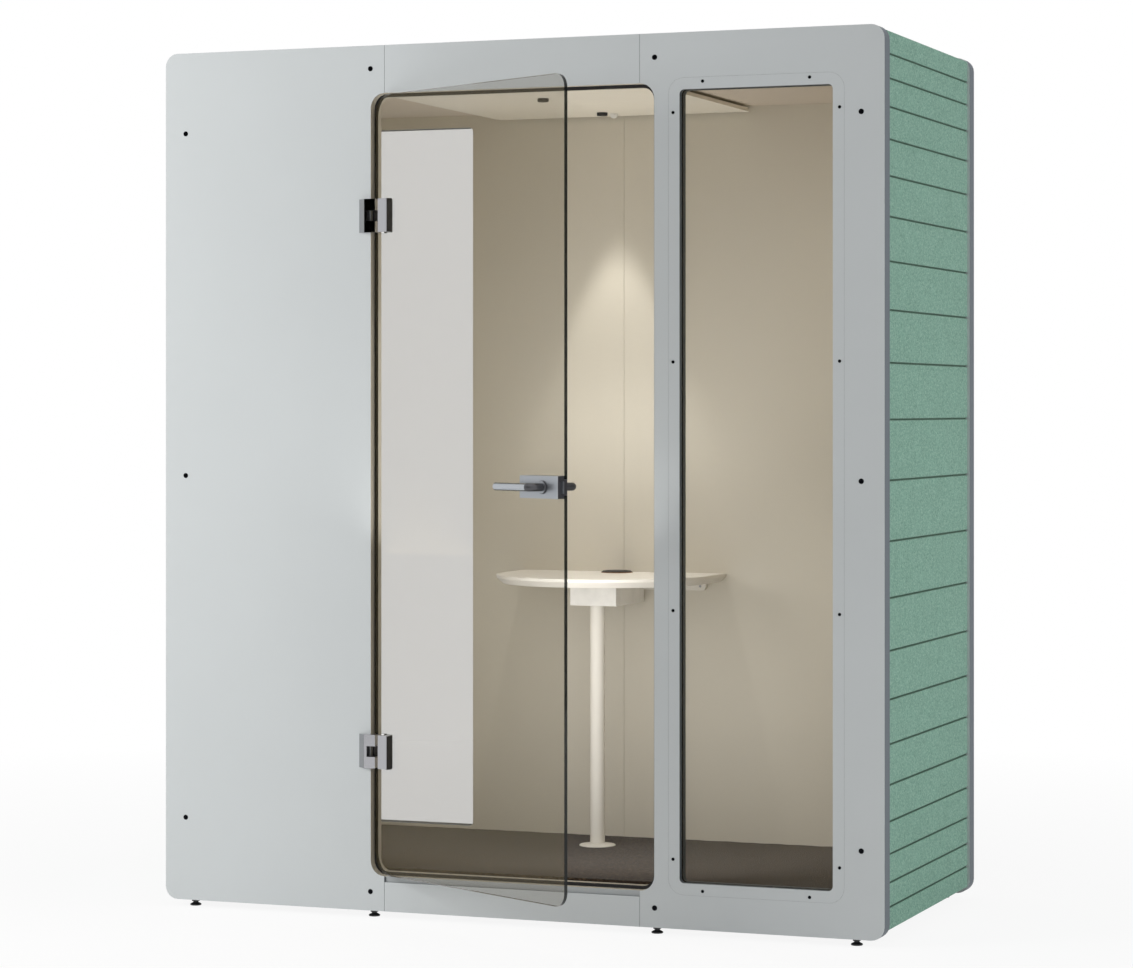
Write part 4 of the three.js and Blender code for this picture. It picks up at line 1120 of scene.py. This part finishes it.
class POD_OT_door_fittings(bpy.types.Operator):
    """Models both levers and eases the edges of the hinges and the lock"""
    bl_idname = "pod.door_fittings"
    bl_label = "Door Fittings"

    SPINDLE = 0.72
    LOCK_HEIGHT = 1.126
    REACH = 0.14
    OUTER_STANDOFF = 0.036
    INNER_STANDOFF = 0.054
    ELBOW = 0.016
    GRIP = 0.01
    ROSETTE = 0.0165
    CLAMP_START = 0.0386
    RECESS_START = 0.0096
    RECESS_HALF = 0.0149
    OUTER_FACE = -0.02  # outside of the lock case, from the plane of the leaf
    INNER_FACE = 0.03  # inside of the inner cover
    LEVER_GAP = 0.0006
    ROSETTE_LAP = 0.0003
    ROSETTE_TALL = 0.004
    LEVER_TIP = 0.0012
    CLAMP_SCREW = 0.0048
    CLAMP_SCREW_PLACE = (0.0475, 0.0163)
    CLAMP_SCREW_RISE = 0.024

    def execute(self, context):
        self.lever("outer", self.OUTER_FACE, -1.0, self.OUTER_STANDOFF, "lever_satin")
        self.lever("inner", self.INNER_FACE, 1.0, self.INNER_STANDOFF, "lever_black")
        self.hardware()
        self.clamp_screws()
        coat("satin_steel", "latch_bolt", "strike_plate", "upper_hinge_pin", "lower_hinge_pin")
        coat("door_pane_glass", "door_glass")
        coat("cream_trim_paint", "door_frame")
        coat("seal_rubber", "door_seal")
        return {"FINISHED"}

    def lever(self, side, face, outward, standoff, grip_finish):
        """A round bar out of the lock, round an elbow and along the door, with its rosette."""
        seat = face + outward * self.LEVER_GAP
        grip = face + outward * standoff
        bend = grip - outward * self.ELBOW
        put_down()
        bpy.ops.mesh.primitive_circle_add(vertices=40, radius=self.GRIP, fill_type="NGON",
                                          location=(self.SPINDLE, seat, self.LOCK_HEIGHT),
                                          rotation=(math.pi / 2, 0.0, 0.0))
        bar = fresh(f"{side}_lever_bar")
        bpy.ops.object.mode_set(mode="EDIT")
        bpy.ops.mesh.select_mode(type="FACE")
        pick_all()
        extrude(0.0, bend - seat, 0.0)
        bpy.ops.mesh.spin(steps=12, angle=-outward * math.pi / 2, axis=(0.0, 0.0, 1.0),
                          center=(self.SPINDLE - self.ELBOW, bend, self.LOCK_HEIGHT))
        extrude(self.ELBOW - self.REACH, 0.0, 0.0)
        pick_all()
        bpy.ops.mesh.remove_doubles(threshold=NEAR)
        set_normals()
        edit(bar)
        pick(bar, "EDGE", lies_at(0, self.SPINDLE - self.REACH))
        ease(self.LEVER_TIP, 3)
        bpy.ops.object.mode_set(mode="OBJECT")
        rim, tall = self.ROSETTE, self.ROSETTE_TALL
        rosette = turned(f"{side}_rosette", [(rim, 0.0), (rim, tall - 0.0012), (rim - 0.0012, tall),
                                             (self.GRIP, tall)], 48)
        facing = FACING_FRONT if outward < 0 else FACING_BACK
        root = seat - outward * self.ROSETTE_LAP
        set_place(rosette, Matrix.Translation((self.SPINDLE, root, self.LOCK_HEIGHT)) @ facing)
        piece = joined(bar, rosette)
        finishes = ("lever_black", grip_finish, "satin_steel")
        for finish in finishes:
            piece.data.materials.append(ready(finish))
        neck = self.SPINDLE - self.ELBOW
        along = lambda f: all(v.co.x < neck + NEAR for v in f.verts)
        finish_faces(piece, 1, lambda f: along(f) and (middle(f).y - grip) * outward > -self.GRIP * 1.2)
        beside = lambda f: (middle(f).xz - Vector((self.SPINDLE, self.LOCK_HEIGHT))).length > self.GRIP * 1.02
        at_root = lambda f: (middle(f).y - face) * outward < self.ROSETTE_TALL * 1.5
        outside = lambda f: f.normal.y * outward > 0.8
        finish_faces(piece, 2, lambda f: at_root(f) and outside(f) and (beside(f) or len(f.verts) > 4))
        set_place(piece, DOOR_PLACE)
        dress(piece, "lever", "lever_black", *finishes, stands_for=(f"{side}_lever",))

    def hardware(self):
        """Hinges and lock with eased edges. On the hinges, black stands for a painted dark reflection on the
        faces that point along the leaf and for painted shade in the recesses and on the knuckles; the lock's
        faces that point along the leaf are black too.
        """
        edge = sizes().hardware_edge
        to_leaf = DOOR_PLACE.inverted()
        recess = DOOR_PIVOT.x - self.RECESS_START
        for level in ("upper", "lower"):
            low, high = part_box(f"{level}_hinge_block")
            centre = (low[2] + high[2]) / 2
            in_recess = lambda v: v.co.x > recess and abs(v.co.z - centre) < self.RECESS_HALF
            on_knuckle = lambda v: (to_leaf @ v.co).x < self.CLAMP_START
            for part, body, inner in (("block", "shell", in_recess), ("clamp", "door", on_knuckle)):
                node = f"{level}_hinge_{part}"
                piece = softened(node, f"{node}_eased", edge)
                dress(piece, body, "polished_chrome", "polished_chrome", "lever_black", stands_for=(node,))
                # painted dark reflection on the faces along the leaf, painted shade in the block's recess and
                # on the clamp's knuckle
                finish_faces(piece, 1, lambda f: f.normal.dot(LEAF) > 0.98 or all(inner(v) for v in f.verts))
        for node in ("lock_case", "lock_inner_cover"):
            piece = softened(node, f"{node}_eased", edge)
            dress(piece, "door", "satin_metal", "satin_steel", "lever_black", stands_for=(node,))
            finish_faces(piece, 1, lambda f: f.normal.dot(LEAF) > 0.9)

    def clamp_screws(self):
        """Two screws in the inner plate of each glass clamp."""
        places = []
        for level in ("upper", "lower"):
            centre = centre_of(f"{level}_hinge_clamp").z - PANEL_FOOT
            for number, rise in enumerate((-self.CLAMP_SCREW_RISE, self.CLAMP_SCREW_RISE), 1):
                spot = Matrix.Translation((*self.CLAMP_SCREW_PLACE, centre + rise))
                places.append((f"{level}_clamp_screw_{number}", DOOR_PLACE @ spot @ FACING_BACK))
        pattern = socket_screw("clamp_screw_pattern", self.CLAMP_SCREW)
        set_out(pattern, "door", "polished_chrome", "screw_black", places)


class POD_OT_feet(bpy.types.Operator):
    """Models one levelling foot and sets it under both walls"""
    bl_idname = "pod.feet"
    bl_label = "Levelling Feet"

    def execute(self, context):
        low, high = corners("foot_front_outer_left")
        radius = (high.x - low.x) / 2
        pad = turned("foot_pattern", [(radius - 0.001, 0.0), (radius, 0.001), (radius, 0.0034),
                                      (radius - 0.0012, 0.0044), (0.0075, 0.0078), (0.007, 0.0092),
                                      (0.007, PANEL_FOOT)], 40)
        nut = turned("foot_nut", [(0.0095, 0.0108), (0.0105, 0.0116), (0.0105, 0.0148), (0.0095, 0.0156)], 6)
        pattern = joined(pad, nut)
        for row in ("front", "back"):
            for place in ("outer_left", "inner_left", "inner_right", "outer_right"):
                node = f"foot_{row}_{place}"
                centre = centre_of(node)
                foot = copied(pattern, f"levelling_{node}", Matrix.Translation((centre.x, centre.y, 0.0)))
                dress(foot, "shell", "foot_black", "foot_black_coat", stands_for=(node,))
        thrown_away(pattern)
        return {"FINISHED"}


class POD_OT_walls(bpy.types.Operator):
    """Gives the wall panels, windows, floor and roof their finishes"""
    bl_idname = "pod.walls"
    bl_label = "Wall Finishes"

    def execute(self, context):
        coat("front_wall_laminate", "front_left_panel", "front_right_panel", "front_header_panel",
             "front_sill_panel", "front_window_bezel")
        coat("back_wall_laminate", "back_window_panel", "back_plain_panel", "back_window_bezel")
        coat("seal_rubber", "front_window_gasket", "back_window_gasket")
        coat("window_pane_glass", "front_window_glass", "back_window_glass")
        coat("core_board", "left_side_core", "right_side_core")
        coat("raw_board", "floor_cassette")
        coat("roof_board", "roof_tray")
        coat("black_moulding", "left_fan_housing", "right_fan_housing", "left_fan_rotor",
             "right_fan_rotor")
        self.vent_rings()
        return {"FINISHED"}

    def vent_rings(self):
        """A raised ring round each air outlet in the roof."""
        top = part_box("roof_tray")[1][2]
        for name in ("left", "right"):
            ring = turned(f"{name}_vent_ring", [(0.0575, top - 0.0004), (0.0575, top + 0.0022),
                                                (0.059, top + 0.0034), (0.066, top + 0.0026),
                                                (0.067, top - 0.0004)], 64, ring=True)
            stand(ring, centre_of(f"{name}_fan_housing"))
            dress(ring, "shell", "black_plastic", "black_moulding")


def seen(tree):
    """1 for rays from the camera, off polished surfaces and through glass, 0 for all others."""
    path = tree.nodes.new("ShaderNodeLightPath")
    share = path.outputs["Is Camera Ray"]
    for kind in ("Is Glossy Ray", "Is Transmission Ray"):
        most = tree.nodes.new("ShaderNodeMath")
        most.operation = "MAXIMUM"
        tree.links.new(share, most.inputs[0])
        tree.links.new(path.outputs[kind], most.inputs[1])
        share = most.outputs[0]
    return share


def mixed(tree, share, first, second, out):
    """Mixes two shaders into the output of a tree."""
    mix = tree.nodes.new("ShaderNodeMixShader")
    for output, socket in zip((share, first, second), mix.inputs):
        tree.links.new(output, socket)
    tree.links.new(mix.outputs[0], tree.nodes[out].inputs["Surface"])


def hung(name, data, place):
    """A light or a camera at its place."""
    obj = bpy.data.objects.new(name, data)
    bpy.context.collection.objects.link(obj)
    obj.location = place
    return obj


WHITE = (1.0, 1.0, 1.0)
KEY_WHITE = (1.0, 0.99, 0.97)
CABIN_WHITE = (1.0, 0.985, 0.95)
LAMP_WHITE = (1.0, 0.98, 0.94)


class POD_OT_stage(bpy.types.Operator):
    """Sets up the studio floor, the lights and the camera"""
    bl_idname = "pod.stage"
    bl_label = "Studio Stage"

    FADE = (1.6, 4.5, 0.9, 1.0)  # from near to far, and the share of plain white at each
    FLAGS = (("front_flag", (-2.5, -6.2, 1.6), -0.36), ("right_flag", (6.6, 0.6, 1.6), math.pi / 2))

    def execute(self, context):
        self.floor()
        self.flags()
        self.world(context.scene)
        self.lights()
        self.camera(context.scene)
        context.scene.view_settings.view_transform = "Standard"
        return {"FINISHED"}

    def floor(self):
        """A white floor that keeps a faint shadow round the pod and is plain white further out."""
        put_down()
        bpy.ops.mesh.primitive_circle_add(vertices=96, radius=14.0, fill_type="NGON",
                                          location=(0.0, 0.0, -0.0005))
        floor = fresh("studio_floor")
        finish = Finish("studio_floor", 0.9)
        cloud = finish.noise(0.6, 2.0)
        rgb = colours().floor
        finish.base(finish.blend(finish.spread(cloud, 0.3, 0.7), rgb, toned(rgb, 0.99)))
        finish.set(specular_ior_level=0.0)
        far = finish.tree.nodes.new("ShaderNodeVectorMath")
        far.operation = "LENGTH"
        finish.link(finish.spot, far.inputs[0])
        fade = finish.spread(far.outputs["Value"], *self.FADE)
        share = finish.sums("MULTIPLY", seen(finish.tree), fade)
        mixed(finish.tree, share, finish.shader.outputs[0], finish.add("Emission", 0), "Material Output")
        floor.data.materials.append(finish.material)

    def world(self, scene):
        """An even room light, with plain white behind the pod and in what polished surfaces show."""
        scene.world = bpy.data.worlds.new("studio")
        scene.world.use_nodes = True
        tree = scene.world.node_tree
        room = tree.nodes["Background"]
        white = tree.nodes.new("ShaderNodeBackground")
        for sky in (room, white):
            sky.inputs["Color"].default_value = (*WHITE, 1.0)
        room.inputs["Strength"].default_value = light_levels().world_level
        mixed(tree, seen(tree), room.outputs[0], white.outputs[0], "World Output")

    def flags(self):
        """Black cards at the front left and on the right that only polished metal and glass see."""
        finish = Finish("black_flag_cloth", 1.0)
        weave = finish.noise(300.0, 2.0)
        finish.base(finish.blend(weave, paint(4, 4, 4), paint(10, 10, 11)))
        finish.set(specular_ior_level=0.0)
        for name, place, turn in self.FLAGS:
            put_down()
            bpy.ops.mesh.primitive_plane_add(size=5.0, location=place, rotation=(math.pi / 2, 0.0, turn))
            card = fresh(name)
            card.data.materials.append(finish.material)
            card.visible_camera = card.visible_diffuse = False
            card.visible_transmission = card.visible_shadow = False

    def lights(self):
        s = light_levels()
        self.soft_light("key_light", (-3.5, -3.4, 2.4), (-0.6, -0.2, 1.0), 2.2, s.key_power, KEY_WHITE)
        self.soft_light("side_light", (5.2, 0.2, 1.7), (0.9, 0.2, 1.0), 2.6, s.side_power, WHITE)
        self.soft_light("top_light", (0.0, 0.4, 5.2), (0.0, 0.2, 2.2), 3.0, s.top_power, WHITE)
        for place, beam, power in (("front", 84.0, s.front_lamp_power), ("back", 42.0, s.back_lamp_power)):
            low, high = corners(f"ceiling_light_{place}")
            below = ((low.x + high.x) / 2, (low.y + high.y) / 2, low.z - 0.004)
            self.cabin_light(f"cabin_light_{place}", below, beam, power)
        self.soft_light("cabin_bounce", (0.0, -0.1, 0.95), (0.0, -0.05, 2.2), 0.7, s.bounce_power,
                        CABIN_WHITE, math.radians(145.0))
        self.soft_light("cabin_glow", (0.0, -0.16, 0.72), (0.0, 0.6, 0.7), 0.9, s.glow_power, CABIN_WHITE)

    def soft_light(self, name, place, target, size, power, rgb, spread=math.pi):
        """A square light that shines from its place towards its target."""
        lamp = bpy.data.lights.new(name, "AREA")
        lamp.shape = "SQUARE"
        lamp.size = size
        lamp.spread = spread
        lamp.energy = power
        lamp.color = rgb
        obj = hung(name, lamp, place)
        obj.rotation_euler = (Vector(target) - Vector(place)).to_track_quat("-Z", "Y").to_euler()
        obj.visible_camera = False
        obj.visible_glossy = name == "top_light"

    def cabin_light(self, name, place, beam, power):
        """The beam of a small ceiling light, straight down."""
        lamp = bpy.data.lights.new(name, "SPOT")
        lamp.energy = power
        lamp.color = LAMP_WHITE
        lamp.spot_size = math.radians(beam)
        lamp.spot_blend = 0.4
        lamp.shadow_soft_size = 0.02
        hung(name, lamp, place)

    def camera(self, scene):
        s = light_levels()
        camera = bpy.data.cameras.new("camera")
        camera.lens = s.lens
        camera.sensor_width = 36.0
        camera.shift_y = s.rise
        scene.camera = hung("camera", camera, s.eye)
        scene.camera.rotation_euler = (math.pi / 2, 0.0, s.heading)


OPERATORS = (POD_OT_side_felt, POD_OT_linings, POD_OT_carpet, POD_OT_screws, POD_OT_table,
             POD_OT_ceiling_fittings, POD_OT_door_fittings, POD_OT_feet, POD_OT_walls, POD_OT_stage)


class POD_PT_dresser(bpy.types.Panel):
    """Lists the steps that dress the pod, with its sizes and colours"""
    bl_idname = "POD_PT_dresser"
    bl_label = "Office Pod"
    bl_space_type = "VIEW_3D"
    bl_region_type = "UI"
    bl_category = "Office Pod"

    def draw(self, context):
        layout = self.layout
        for step in OPERATORS:
            layout.operator(step.bl_idname)
        for group in (context.scene.pod_sizes, context.scene.pod_colours, context.scene.pod_stage):
            box = layout.box()
            for key in group.__annotations__:
                box.prop(group, key)


GROUPS = (("pod_sizes", PodSizes), ("pod_colours", PodColours), ("pod_stage", PodStage))


def register():
    for name, group in GROUPS:
        bpy.utils.register_class(group)
        setattr(bpy.types.Scene, name, bpy.props.PointerProperty(type=group))
    for cls in (*OPERATORS, POD_PT_dresser):
        bpy.utils.register_class(cls)


def unregister():
    for cls in (POD_PT_dresser, *reversed(OPERATORS)):
        bpy.utils.unregister_class(cls)
    for name, group in reversed(GROUPS):
        delattr(bpy.types.Scene, name)
        bpy.utils.unregister_class(group)


def main():
    register()
    bpy.ops.pod.side_felt()
    bpy.ops.pod.linings()
    bpy.ops.pod.carpet()
    bpy.ops.pod.screws()
    bpy.ops.pod.table()
    bpy.ops.pod.ceiling_fittings()
    bpy.ops.pod.door_fittings()
    bpy.ops.pod.feet()
    bpy.ops.pod.walls()
    bpy.ops.pod.stage()


if __name__ == "__main__":
    main()
